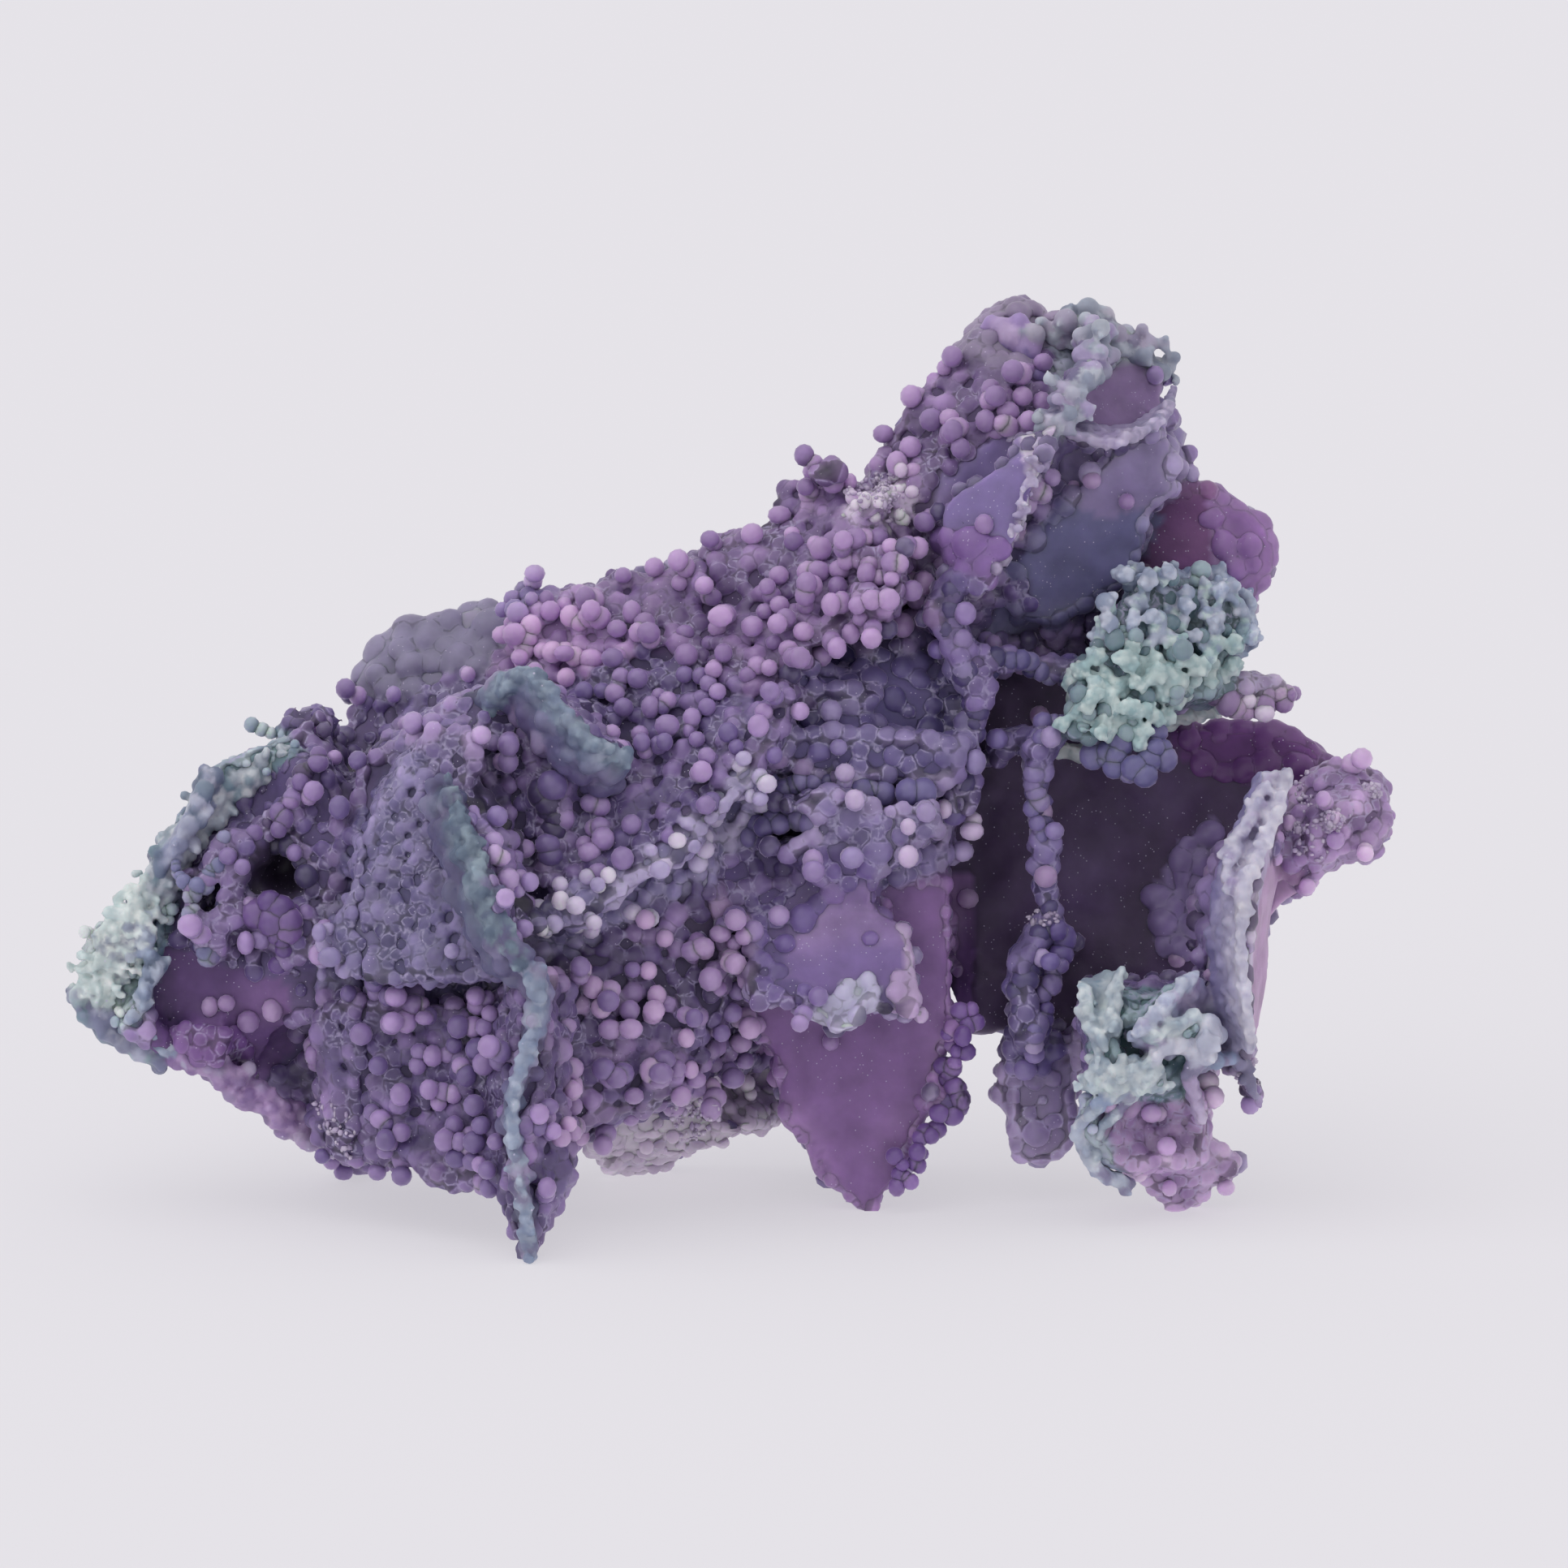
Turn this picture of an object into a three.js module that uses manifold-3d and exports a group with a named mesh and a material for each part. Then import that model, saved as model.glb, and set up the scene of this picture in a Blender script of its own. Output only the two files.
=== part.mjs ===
// Botryoidal chalcedony: a hand specimen of grape agate, grown as one piece.
// Thin blades and shelves of chalcedony stand out of a thick body, ribs run down their edges,
// and grape-like lumps cover most of them. It rests on the tips of its lowest lobes.
// Millimetres, +Z up. The origin is the middle of the footprint's box, on the resting plane.
import * as THREE from "three";
import { ConvexGeometry } from "three/addons/geometries/ConvexGeometry.js";
import { MeshSurfaceSampler } from "three/addons/math/MeshSurfaceSampler.js";
import { mergeVertices } from "three/addons/utils/BufferGeometryUtils.js";
import Module from "manifold-3d";

// The specimen is drawn on its best face: x to the right, y up the face, z out of the face.
// The face leans back by this angle once the specimen stands.
const FACE_LEAN_DEG = 10;
// Height of the resting plane above the drawing's zero, once the face leans back.
const REST_HEIGHT = 4.2;
// How far a rib is rooted behind its crest, in the blade or body that it grows on.
const RIB_ROOT = 5;
const RIB_SIDES = 5;
const GRAPE_SEED = 20117;
const MERGE_DISTANCE = 1e-3;
const LILAC = 0x7d6299;

// Thick parts: the convex hull of a few points [x, y, z] each.
const MASSES = {
  leftWing: [
    [-68, 28.5, -2], [-67, 30, -8], [-64, 35.3, -1], [-60, 40.5, 0], [-57.5, 45.5, -2], [-54, 49.5, -3],
    [-47, 53, -3], [-41, 57, -5], [-65.5, 26.2, -3], [-58, 21.5, -4], [-50, 19, -5], [-42, 27, 4],
    [-40, 46, 5], [-50, 30, 2], [-62, 33, -14], [-52, 44, -20], [-45, 28, -22], [-40, 55, -22],
  ],
  backRidge: [
    [-41, 59, -20], [-37, 63, -20], [-33, 66, -21], [-29, 67.6, -20], [-18, 68.8, -18], [-20, 60, -30],
    [-38, 55, -31], [-30, 50, -12], [-40, 50, -14], [-15, 60, -10],
  ],
  heart: [
    [-38, 52, 5], [-30, 58, 6], [-18, 58, 8], [-2, 46, 5], [0, 28, 3], [-8, 16, 3], [-20, 14, 8],
    [-32, 14, 5], [-40, 20, 2], [-42, 30, 3], [-38, 16, -14], [-38, 50, -26], [-10, 62, -30],
    [5, 60, -30], [8, 22, -26], [-10, 14, -24], [-34, 15, -22],
  ],
  middle: [
    [0, 60, 2], [8, 62, 0], [18, 60, 0], [23, 58, -2], [23, 46, -2], [22, 36, -2], [4, 34, 1], [0, 38, 3],
    [2, 23, -3], [20, 22, -6], [0, 73, -8], [12, 77, -10], [18, 74, -9], [0, 70, -26], [20, 72, -28],
    [23, 42, -29], [8, 20, -28], [21, 25, -25],
  ],
  topFin: [
    [13, 79, -6], [17, 85, -8], [20, 90.5, -10], [23, 94.5, -12], [26, 97.5, -14], [30, 99, -16],
    [34, 97.5, -16], [40, 95, -16], [44, 92.5, -15], [44.5, 90, -14], [43.5, 86, -12], [45.5, 83, -12],
    [46.5, 80, -13], [44, 72, -14], [36, 64, -12], [24, 62, -8], [18, 66, -6], [18, 76, -3], [26, 84, -2],
    [33, 88, -5], [28, 92, -6], [28, 97, -24], [42, 91, -25], [44, 74, -26], [22, 70, -27], [16, 80, -20],
  ],
  rightBack: [
    [23, 62, -16], [42, 60, -16], [57, 51, -16], [54, 28, -16], [35, 25, -17], [24, 27, -17],
    [42, 47, -29], [28, 52, -30], [30, 36, -28],
  ],
  frontTip: [
    [-19.8, 31, 20.5], [-21, 20, 19.5], [-22, 14, 19], [-20.5, 0.2, 18], [-23, 5, 14.5], [-25, 9, 12],
    [-26, 16, 10], [-17, 11.5, 12], [-16.8, 7.5, 13], [-18.3, 3.8, 15.5], [-16.5, 20, 9], [-15, 30, 8],
    [-25, 28, 10], [-20, 10, 4], [-20, 3, 14],
  ],
  tealTent: [[-28, 48, 16], [-25, 40, 20], [-21.5, 31.5, 21], [-19.5, 34, 12], [-21, 45, 10], [-26, 50, 10]],
  lowerLeft: [
    [-43, 26, 5], [-40, 28, 7], [-25, 27, 11], [-24, 14, 11], [-30, 9.8, 8], [-34, 11.8, 6], [-37, 12.8, 4],
    [-41, 11.5, 0], [-42.5, 14, 0], [-40, 15, -10], [-28, 13, -8], [-40, 26, -8],
  ],
  backLeftFoot: [
    [-50, 18, -8], [-45, 14, -10], [-42, 11.8, -14], [-40, 8.4, -28], [-36, 8.4, -29], [-36, 20, -29],
    [-45, 24, -22], [-38, 13, -12], [-42, 26, 0], [-36, 24, 0],
  ],
  backFoot: [
    [-15, 12, -8], [-12.5, 8.2, -27], [-9, 8.2, -28], [2, 13.5, -12], [4.5, 15, -20], [-12, 22, -29],
    [3, 24, -29], [-14, 20, -5],
  ],
  hiddenFoot: [
    [10, 28, -14], [18, 28, -14], [11.5, 8.8, -28], [15.5, 8.8, -29], [13, 8.8, -25], [10, 28, -30],
    [18, 28, -30],
  ],
  paleBlade: [
    [56.2, 49.5, 5], [54.8, 45, 8], [53.6, 40, 9], [52.8, 34, 10], [52.6, 28, 9], [53, 22, 7], [50.5, 44, 0],
    [47, 36, -5], [47.5, 26, -5], [50, 21, -4], [56.6, 47, -4], [55.6, 38, -5], [55.8, 30, -4],
    [55, 26.5, -2], [54, 20, -1],
  ],
  farRightLobe: [
    [57, 47.5, -6], [60, 50.5, -8], [63, 51.5, -8], [66, 51, -8], [67.5, 49, -8], [67.6, 45, -6],
    [66, 43.2, -5], [60.5, 40.5, -4], [59, 38.8, -5], [57, 39.2, -5], [55.5, 43, -3], [62, 47, 0],
    [66, 47, -2], [60, 43, 0], [60, 46, -16], [65.5, 47, -14],
  ],
  lowerRight: [
    [36.5, 27.5, 5], [39.5, 28.5, 6], [46.5, 28, 5], [49.5, 25, 5], [49.5, 22.5, 5], [46, 18.5, 6],
    [38, 18.5, 6], [36.3, 22, 6], [36, 30, -12], [50, 30, -12], [50, 19.5, -8], [36, 19, -10],
  ],
  lowerLobe: [
    [36.6, 18, 5], [36.2, 15, 5], [37.8, 11.8, 3], [40, 9.5, 1], [43, 8.4, -1], [45.8, 5.3, -7],
    [48.5, 6.6, -7], [49.3, 11, -2], [49.2, 17, 0], [45, 19, 5], [38, 18, -10], [49, 18, -10],
    [44, 9, -11], [46.8, 5.5, -10.5],
  ],
  darkLobe: [
    [28.8, 24, -6], [36, 24, -6], [35.6, 13, -8], [34, 11.2, -9], [30, 11.2, -9], [29.2, 15, -8],
    [29, 24, -16], [36, 24, -16], [35.6, 12.8, -14], [30.5, 11.8, -13],
  ],
  coralBack: [
    [36, 56, 1], [50, 60, -5], [51.5, 67.5, -8], [42, 70, -6], [36.5, 62, -1], [36, 58, -16], [50, 61, -15],
    [46, 69, -16],
  ],
};

// Blades and shelves: an outline [x, y], the height z out of the face at its first point,
// and how z changes along x (turn) and y (lean).
const SHEETS = {
  triangleBlade: {
    outline: [
      [-21.2, 30.8], [-22.5, 34], [-24.5, 38], [-26.5, 43], [-27.5, 47.5], [-25.4, 51.5], [-26, 55.6],
      [-29.5, 56], [-32.2, 54], [-34, 50.5], [-36.3, 47], [-38.2, 42.5], [-39, 38], [-41, 34.5],
      [-40, 29.8], [-35, 29.2], [-30, 29.4], [-25, 29.6],
    ],
    z: 19.5, turn: 0.42, lean: -0.2, thickness: 4,
  },
  upperSlope: {
    outline: [
      [-18.5, 34], [-13, 36.6], [-9, 39.6], [-3.6, 42.4], [-2.2, 45], [0.8, 48], [2.2, 52.5], [5.4, 57],
      [6.5, 61], [12, 65.6], [18, 69], [18, 76], [14, 80], [9.5, 81], [6, 77.4], [0, 74.8], [-8, 71.8],
      [-16, 69.8], [-22, 66], [-22, 62], [-14, 55], [-17, 48], [-19.5, 40],
    ],
    z: 13.5, turn: 0.33, lean: -0.64, thickness: 5,
  },
  tealShelf: {
    outline: [
      [-21, 58.5], [-21.2, 55], [-20.3, 51.4], [-17.6, 48.6], [-16, 50.2], [-12, 49.4], [-9.8, 51.6],
      [-10.2, 53.8], [-14.5, 54], [-18, 58],
    ],
    z: 8, turn: 0.15, lean: 0.05, thickness: 4.5,
  },
  leftShelf: {
    outline: [[-50, 37], [-50, 34], [-47, 33], [-46, 30.5], [-42, 31], [-41.6, 36], [-45, 37.6]],
    z: 4.5, turn: 0.15, lean: 0, thickness: 4,
  },
  middleBlade: {
    outline: [
      [14, 4.6], [16, 7.3], [18, 9.8], [19.6, 13.5], [21.8, 19], [23, 26], [22.8, 32], [23, 40], [4, 36],
      [3.4, 28], [4.4, 20], [6.4, 14.6], [9.2, 11.2], [12, 7.2],
    ],
    z: -6.5, turn: 0, lean: 0.17, thickness: 5.5,
  },
  hangingShelf: {
    outline: [
      [10, 24.6], [14, 26.3], [17, 25.8], [19.6, 25.8], [18.7, 28.5], [18.9, 32], [17.8, 34], [18.8, 35.2],
      [16.3, 36.2], [15, 38.5], [8, 40], [0.4, 39], [1.2, 33], [0.9, 27.8], [2.2, 26.2], [5, 27.1],
      [8.5, 25.9],
    ],
    z: 8.5, turn: -0.05, lean: -0.42, thickness: 3.4,
  },
  brightLedge: {
    outline: [
      [8, 49], [13, 48.7], [15.5, 47], [19, 47.5], [21.3, 48], [21.8, 45], [22.6, 43.8], [20.8, 43.6],
      [18.4, 42.6], [16.6, 40.8], [15, 39.8], [14.4, 35.6], [12, 37.2], [6, 41.2], [2.2, 44], [5.2, 47.3],
    ],
    z: 7.5, turn: 0, lean: 0.28, thickness: 4,
  },
  upperShelf: {
    outline: [
      [3.2, 51.6], [8, 50.6], [16, 49.6], [22, 49.2], [23.8, 50.2], [24.2, 54], [22, 54], [18, 54.8],
      [14, 56], [12, 55.7], [9, 56], [5.8, 54.2],
    ],
    z: 4.5, turn: 0, lean: 0.1, thickness: 4,
  },
  topShelf: {
    outline: [[6, 58.6], [9, 57.2], [15, 57.7], [14.8, 58.8], [12, 60.1], [9, 59.8]],
    z: 2.5, turn: 0, lean: 0, thickness: 3.5,
  },
  smoothBlade: {
    outline: [
      [21.2, 75.6], [22.6, 72.8], [21.6, 70.4], [22.2, 68.4], [25, 68.8], [27.6, 70.2], [28.3, 72.6],
      [29.8, 74.5], [30.7, 76.6], [31.2, 79.6], [32.5, 81.5], [32.6, 83.8], [30, 84], [27, 82.2],
      [23, 79.6], [21.4, 78],
    ],
    z: 1.5, turn: 0.35, lean: -0.05, thickness: 2.8,
  },
  serratedBlade: {
    outline: [[27.6, 84.2], [30, 84.2], [33.2, 84.4], [34, 85.4], [34, 86.7], [32, 86.4], [29, 85.8]],
    z: 1.5, turn: 0.3, lean: 0, thickness: 3,
  },
  bluePlate: {
    outline: [
      [29.8, 66.4], [33, 65.4], [36, 66.8], [40, 69.3], [41.7, 72.2], [43, 74.5], [42.6, 77], [44.2, 78.6],
      [45.8, 79.8], [45.2, 81.6], [45.6, 84.4], [43.8, 86.2], [40, 84.3], [36.6, 81.8], [33.6, 77.8],
      [31.2, 74.4], [28.8, 70],
    ],
    z: -7, turn: -0.05, lean: 0.2, thickness: 4,
  },
  violetPlate: {
    outline: [
      [43.5, 79.2], [42, 75], [43, 70], [48, 66.4], [53, 65.4], [54, 67], [54.6, 70], [56, 72], [56, 73.6],
      [55, 75.3], [54.4, 77], [52, 78.3], [49.5, 79.6], [46, 79.9],
    ],
    z: -12, turn: -0.1, lean: 0, thickness: 3,
  },
  coralPatch: {
    outline: [
      [34.2, 54], [38, 53.6], [42, 55.4], [46, 57.4], [50, 58.8], [50.2, 61.5], [51.6, 64.6], [53.6, 66.6],
      [53.1, 68.3], [51.3, 69.9], [49.3, 70.1], [46, 70.1], [44.4, 71.5], [42.2, 71], [40.7, 68.8],
      [38.3, 66.3], [36.9, 63], [35.4, 60], [34.5, 57],
    ],
    z: 4, turn: -0.38, lean: -0.1, thickness: 5,
  },
  backWall: {
    outline: [
      [22, 63], [22, 40], [24.4, 25], [28, 24], [35, 24.4], [38, 20.6], [48, 20.6], [53.6, 24.4],
      [55.6, 34], [59.6, 40.4], [64, 48], [61.6, 51.6], [58.6, 53.6], [54.8, 55.5], [49, 55.6], [45, 56],
      [43, 62], [36, 66],
    ],
    z: -14, turn: 0, lean: 0.04, thickness: 6,
  },
};

// Ribs, crests and fingers: a path of [x, y, z, radius].
const RIBS = {
  tealCrest: [
    [-28, 48.4, 17, 0.9], [-27.4, 46.4, 18, 1], [-26.5, 43.4, 19.3, 1.3], [-25.2, 40, 20.6, 1.3],
    [-23.8, 36.5, 21.5, 1.2], [-22.2, 33.5, 22, 1], [-20.6, 31.6, 22, 1],
  ],
  frontCrest: [
    [-20.2, 31.4, 21.5, 1], [-19.3, 28, 21.3, 1], [-19.9, 24.5, 21, 1], [-21, 20.5, 20.5, 0.9],
    [-22, 16.5, 20, 0.9], [-21.7, 12.5, 19.6, 0.9], [-20.8, 8, 19, 0.8], [-20.5, 3.5, 18.4, 0.8],
  ],
  upperTealCrest: [
    [-24.3, 57.6, 7, 0.9], [-23.5, 59.3, 8, 1.1], [-21.5, 60.3, 9.5, 1.2], [-20, 61, 10, 1.2],
    [-18, 58.6, 11.5, 1.3], [-16, 55.6, 12.5, 1.3], [-14.5, 53.6, 13, 1.2], [-12, 53, 11.5, 1.4],
    [-10.4, 52, 10, 1.3],
  ],
  column: [[-18.6, 50, 8.5, 1.7], [-18, 46, 8.5, 1.6], [-18.4, 42.5, 9, 1.5]],
  leftCrest: [
    [-67, 29, -1, 1.4], [-63, 34.3, 0.5, 2], [-60.3, 38, 1, 2], [-58.5, 42, 1, 1.5], [-56.4, 46.2, 0, 1.4],
    [-54, 49, -0.5, 1.4], [-49, 52, -0.5, 1.5], [-45, 54.4, -1.5, 1.4], [-41, 56.8, -2.5, 1.4],
  ],
  leftLowerCrest: [
    [-60.5, 35, 2, 1.3], [-59, 31, 3, 1.2], [-60, 28, 2.6, 1.1], [-61, 25.4, 1, 1], [-57.5, 22.6, 0, 1.1],
  ],
  blueFork: [
    [-51.6, 44.4, 4, 1], [-53.5, 41, 4.4, 1], [-55, 38.5, 4.8, 1.1], [-55.2, 35.6, 4.8, 1],
    [-53.6, 33, 4.8, 1.1], [-52.8, 31.5, 4.8, 1],
  ],
  blueForkSide: [[-56.5, 40.4, 3.6, 0.7], [-55.1, 38.4, 4.6, 1]],
  leftFinger: [[-49, 43.6, 4, 1.2], [-50.5, 39.5, 4.4, 1.1], [-51.6, 36, 4.8, 1.1], [-52.6, 33, 5, 1.1]],
  purpleFinger: [[-44, 51, 2.6, 1.3], [-45, 47.6, 3.6, 1.6], [-48, 45, 4, 1.2]],
  leftLowLobe: [[-56, 23.6, 0, 2], [-52, 23, 1, 2.4]],
  lowKnob: [[-40, 17.5, 3, 1.8], [-39.3, 13.4, 3, 2.5], [-40.4, 10.9, 1, 1.5]],
  lowGrapes: [[-31.5, 10.8, 8, 1.6], [-28, 8.9, 9, 1.8], [-25.5, 10.5, 11, 1.6]],
  druseBall: [[14.8, 79.2, -0.6, 2.7], [15.8, 77.8, -0.2, 3]],
  topKnobs: [[9.6, 82.4, -5, 1.1], [10.6, 80.6, -4, 1.7]],
  hangingGrapes: [[12.5, 73, 1, 2], [16, 73, 2.6, 1.4], [18.3, 73.4, 3, 1.2]],
  hangingCluster: [[13, 67.6, 3.5, 2.3], [17.2, 69, 4.2, 2], [15, 65.7, 3.6, 1.4]],
  ledgeKnobs: [[6.3, 59.4, 6, 1.3], [4.4, 54.6, 7.5, 1.5], [0.4, 48.4, 9.5, 1.5]],
  longColumn: [
    [22.5, 69, 1.5, 1.9], [20.8, 66.6, 1.5, 1.9], [23.2, 65, 1.5, 1.8], [23.5, 61.6, 1, 1.8],
    [25.7, 58.8, 0.8, 1.8], [24.7, 55.4, 0.5, 1.6], [23.8, 52, 0, 1.6], [23.6, 48.6, 0, 1.7],
    [23.6, 46.2, 0.4, 1.6],
  ],
  sideArm: [[25, 61.4, 0, 1.7], [28.5, 62.5, -1, 1.6], [32, 61.4, -3, 1.4], [36, 60.5, -3, 1.5]],
  cavityRib: [
    [36, 55.5, -1, 1.5], [32, 55.6, 0, 1.3], [31.8, 53, 0, 1.4], [31.6, 50, -1, 1.2], [31.8, 46, -2, 1.4],
    [32.4, 42, -3, 1.4], [32.8, 38, -3.5, 1.4], [33, 34.6, -4, 1.9], [30.6, 32, -3, 1.6], [29.6, 29, -2, 1.5],
    [30.3, 25.6, -2, 1.5], [31.3, 23, -2.5, 1.6],
  ],
  cavityRibRoot: [[33, 34.6, -4, 1.9], [33.6, 33, -9, 2.2], [34, 32, -14, 3]],
  smallGrapes: [[31.8, 53.4, -0.5, 1.3], [28.8, 54.6, -3, 1.3], [27, 52.6, -5, 1.4], [26, 53, -14, 2]],
  bladeBumps: [[20, 18, -4, 1.8], [22, 16.9, -4, 1.6], [23.4, 16.3, -4, 1.3]],
  bladeEdgeBump: [[22, 24.5, -2.6, 1.6], [23.2, 24.4, -2.6, 1.2]],
  paleLip: [[10, 24.7, 9, 1], [12.5, 25.2, 9.2, 1.2], [14, 27.4, 8.6, 1.1]],
  pocketRim: [
    [35, 85.2, -1, 1], [37.5, 84.5, 0, 0.9], [40, 84.6, 0, 0.9], [42.5, 85.4, -1.5, 0.9],
    [44.5, 86.8, -5, 0.9], [44.8, 88, -11, 1.2],
  ],
  tealTopRib: [
    [33, 86, 0.4, 1.2], [34.6, 89, 0, 1.5], [36.4, 91.4, -1.6, 1.5], [37.6, 93.6, -4, 1.5],
    [37.6, 95.6, -9, 1.7],
  ],
  farTopCrest: [[33.5, 96.8, -12, 1.9], [37, 97.2, -12.5, 2], [40, 95.8, -13, 1.9], [42.3, 94.6, -14, 1.5]],
  topRightKnob: [[43.6, 91.5, -14, 1.5], [45, 93, -15, 1]],
  rightArm: [[47, 60, -5, 2], [52, 59.2, -6, 1.5], [55, 59.5, -7, 1.4], [57.6, 59.3, -7.5, 1.1]],
  tealPetalA: [[36.8, 28, 7, 0.9], [37.4, 25, 8, 1.1], [38.6, 22, 8.6, 1.1], [39.5, 20, 8.6, 1.2]],
  tealPetalB: [[40, 29.4, 6.4, 0.7], [39.8, 27, 7.6, 1], [40.5, 24, 8, 1.1]],
  tealPetalC: [[46.7, 29.4, 7, 0.7], [44.4, 27.5, 8, 1], [41.5, 25.6, 8, 1.1]],
  tealPetalD: [[49.2, 25, 6.6, 1.6], [46.3, 24, 8, 1.6], [43, 23.6, 8.4, 1.3]],
  tealPetalE: [[41, 20.6, 8.6, 1.5], [44.5, 19, 7.6, 1.3]],
  lobeRim: [
    [36.9, 18, 6, 1.2], [36.4, 15, 6, 1.1], [37.9, 12, 4.6, 1.1], [40, 10.2, 3.4, 1.4], [43, 10.8, 3, 1.2],
    [46.4, 10.8, 2, 1.2], [48.6, 11.2, 0.6, 1.2], [48.6, 14, 1.4, 1], [47.8, 18, 3.4, 1],
  ],
  rightKnob: [[49.6, 11, -4, 1.6], [51.8, 9.5, -5, 1.8]],
  darkKnob: [[27.7, 18.6, -9, 1.8], [30, 18, -10, 2.2]],
  lowSpike: [[51.5, 20.6, 2, 1.2], [53, 18.8, 1, 0.8], [54.3, 17.4, 0.4, 0.5]],
};

// Natural hollows: ellipsoids [x, y, z] with radii, cut out of the joined body.
const HOLLOWS = {
  topPocket: { centre: [41, 89.4, -6], radii: [3, 2.9, 6] },
  leftHole: { centre: [-46, 41, 6], radii: [3, 2.6, 8] },
  leftSlot: { centre: [-49.5, 33.4, 5], radii: [2.2, 1.4, 6] },
  ledgeHole: { centre: [11, 63, 2], radii: [3.4, 1.5, 7] },
  lobeBowl: { centre: [43.2, 14.8, 5], radii: [3.6, 2.9, 5] },
  shelfHollow: { centre: [5, 45.4, 5], radii: [4.2, 1.8, 7] },
};

// Where the grapes gather in coarse lumps: the host, how far apart they stand, their radius,
// and how far they rise above their host.
const LUMPS = [
  { host: "upperSlope", spacing: 9, radius: [2.8, 3.6], rise: 1.6 },
  { host: "lowerLeft", spacing: 8.6, radius: [2.4, 3.2], rise: 1.3 },
  { host: "heart", spacing: 13, radius: [3.8, 5.2], rise: 1.8 },
  { host: "leftWing", spacing: 12.5, radius: [3.2, 4.6], rise: 1.4 },
  { host: "backRidge", spacing: 12.5, radius: [3.2, 4.6], rise: 1.4 },
  { host: "topFin", spacing: 12, radius: [3, 4.2], rise: 1.4 },
  { host: "middle", spacing: 14, radius: [3.2, 4.6], rise: 1.6 },
  { host: "farRightLobe", spacing: 9, radius: [2.2, 2.8], rise: 1 },
  { host: "rightBack", spacing: 13, radius: [3.8, 5.2], rise: 1.8 },
];

const wasm = await Module();
wasm.setup();

// A small seeded generator, so that the grapes stand in the same places every time.
function seeded(seed) {
  let state = seed >>> 0;
  return () => {
    state = (state + 0x6d2b79f5) >>> 0;
    let t = Math.imul(state ^ (state >>> 15), state | 1);
    t ^= t + Math.imul(t ^ (t >>> 7), t | 61);
    return ((t ^ (t >>> 14)) >>> 0) / 4294967296;
  };
}

function solidOf(geometry) {
  const bare = geometry.index ? geometry.toNonIndexed() : geometry.clone();
  const points = new THREE.BufferGeometry().setAttribute("position", bare.getAttribute("position"));
  const merged = mergeVertices(points, MERGE_DISTANCE);
  return new wasm.Manifold(
    new wasm.Mesh({
      numProp: 3,
      vertProperties: merged.attributes.position.array,
      triVerts: new Uint32Array(merged.index.array),
    }),
  );
}

function geometryOf(solid) {
  const mesh = solid.getMesh();
  const positions = new Float32Array(mesh.numVert * 3);
  for (let i = 0; i < mesh.numVert; i++)
    positions.set(mesh.vertProperties.subarray(i * mesh.numProp, i * mesh.numProp + 3), i * 3);
  return new THREE.BufferGeometry()
    .setAttribute("position", new THREE.BufferAttribute(positions, 3))
    .setIndex(new THREE.BufferAttribute(new Uint32Array(mesh.triVerts), 1));
}

function hullOf(points) {
  return new ConvexGeometry(points.map(([x, y, z]) => new THREE.Vector3(x, y, z)));
}

// A blade or shelf: its outline extruded, then sheared so that it turns and leans.
function sheetGeometry({ outline, z, turn, lean, thickness }) {
  const shape = new THREE.Shape(outline.map(([x, y]) => new THREE.Vector2(x, y)));
  const geometry = new THREE.ExtrudeGeometry(shape, {
    depth: thickness,
    bevelEnabled: false,
  });
  const [x0, y0] = outline[0];
  const shear = new THREE.Matrix4().set(1, 0, 0, 0, 0, 1, 0, 0, turn, lean, 1, 0, 0, 0, 0, 1);
  geometry.translate(-x0, -y0, -thickness);
  geometry.applyMatrix4(shear);
  return geometry.translate(x0, y0, z);
}

// A rib: a cylinder whose rings are moved to the knots of its path. Its front half is as wide as
// the knot, and its back half reaches into what it grows on.
function ribGeometry(path) {
  const last = path.length - 1;
  const tube = new THREE.CylinderGeometry(1, 1, last, RIB_SIDES, last).translate(0, last / 2, 0);
  const at = tube.getAttribute("position");
  for (let i = 0; i < at.count; i++) {
    const ring = Math.round(at.getY(i));
    const [x, y, z, radius] = path[ring];
    const [fromX, fromY] = path[Math.max(ring - 1, 0)];
    const [toX, toY] = path[Math.min(ring + 1, last)];
    const across = new THREE.Vector2(toY - fromY, fromX - toX).setLength(radius * at.getX(i));
    const depth = at.getZ(i) * (at.getZ(i) > 0 ? radius : RIB_ROOT);
    at.setXYZ(i, x + across.x, y + across.y, z + depth);
  }
  return tube;
}

function join(solids) {
  return solids.reduce((sum, solid) => sum.add(solid));
}

function hollowSolid({ centre, radii }) {
  const bowl = new THREE.IcosahedronGeometry(1, 1).scale(...radii).translate(...centre);
  return solidOf(bowl);
}

// Places picked on a host's surface, none nearer to another than the spacing.
function scatter(geometry, spacing, random) {
  const bare = geometry.index ? geometry.toNonIndexed() : geometry.clone();
  bare.computeVertexNormals();
  bare.computeBoundingBox();
  const sampler = new MeshSurfaceSampler(new THREE.Mesh(bare)).setRandomGenerator(random).build();
  const size = bare.boundingBox.getSize(new THREE.Vector3());
  const tries = Math.ceil((12 * (size.x * size.y + size.y * size.z + size.z * size.x)) / spacing ** 2);
  const kept = [];
  for (let i = 0; i < tries; i++) {
    const place = { point: new THREE.Vector3(), normal: new THREE.Vector3() };
    sampler.sample(place.point, place.normal);
    if (kept.every((other) => other.point.distanceTo(place.point) > spacing)) kept.push(place);
  }
  return kept;
}

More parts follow.
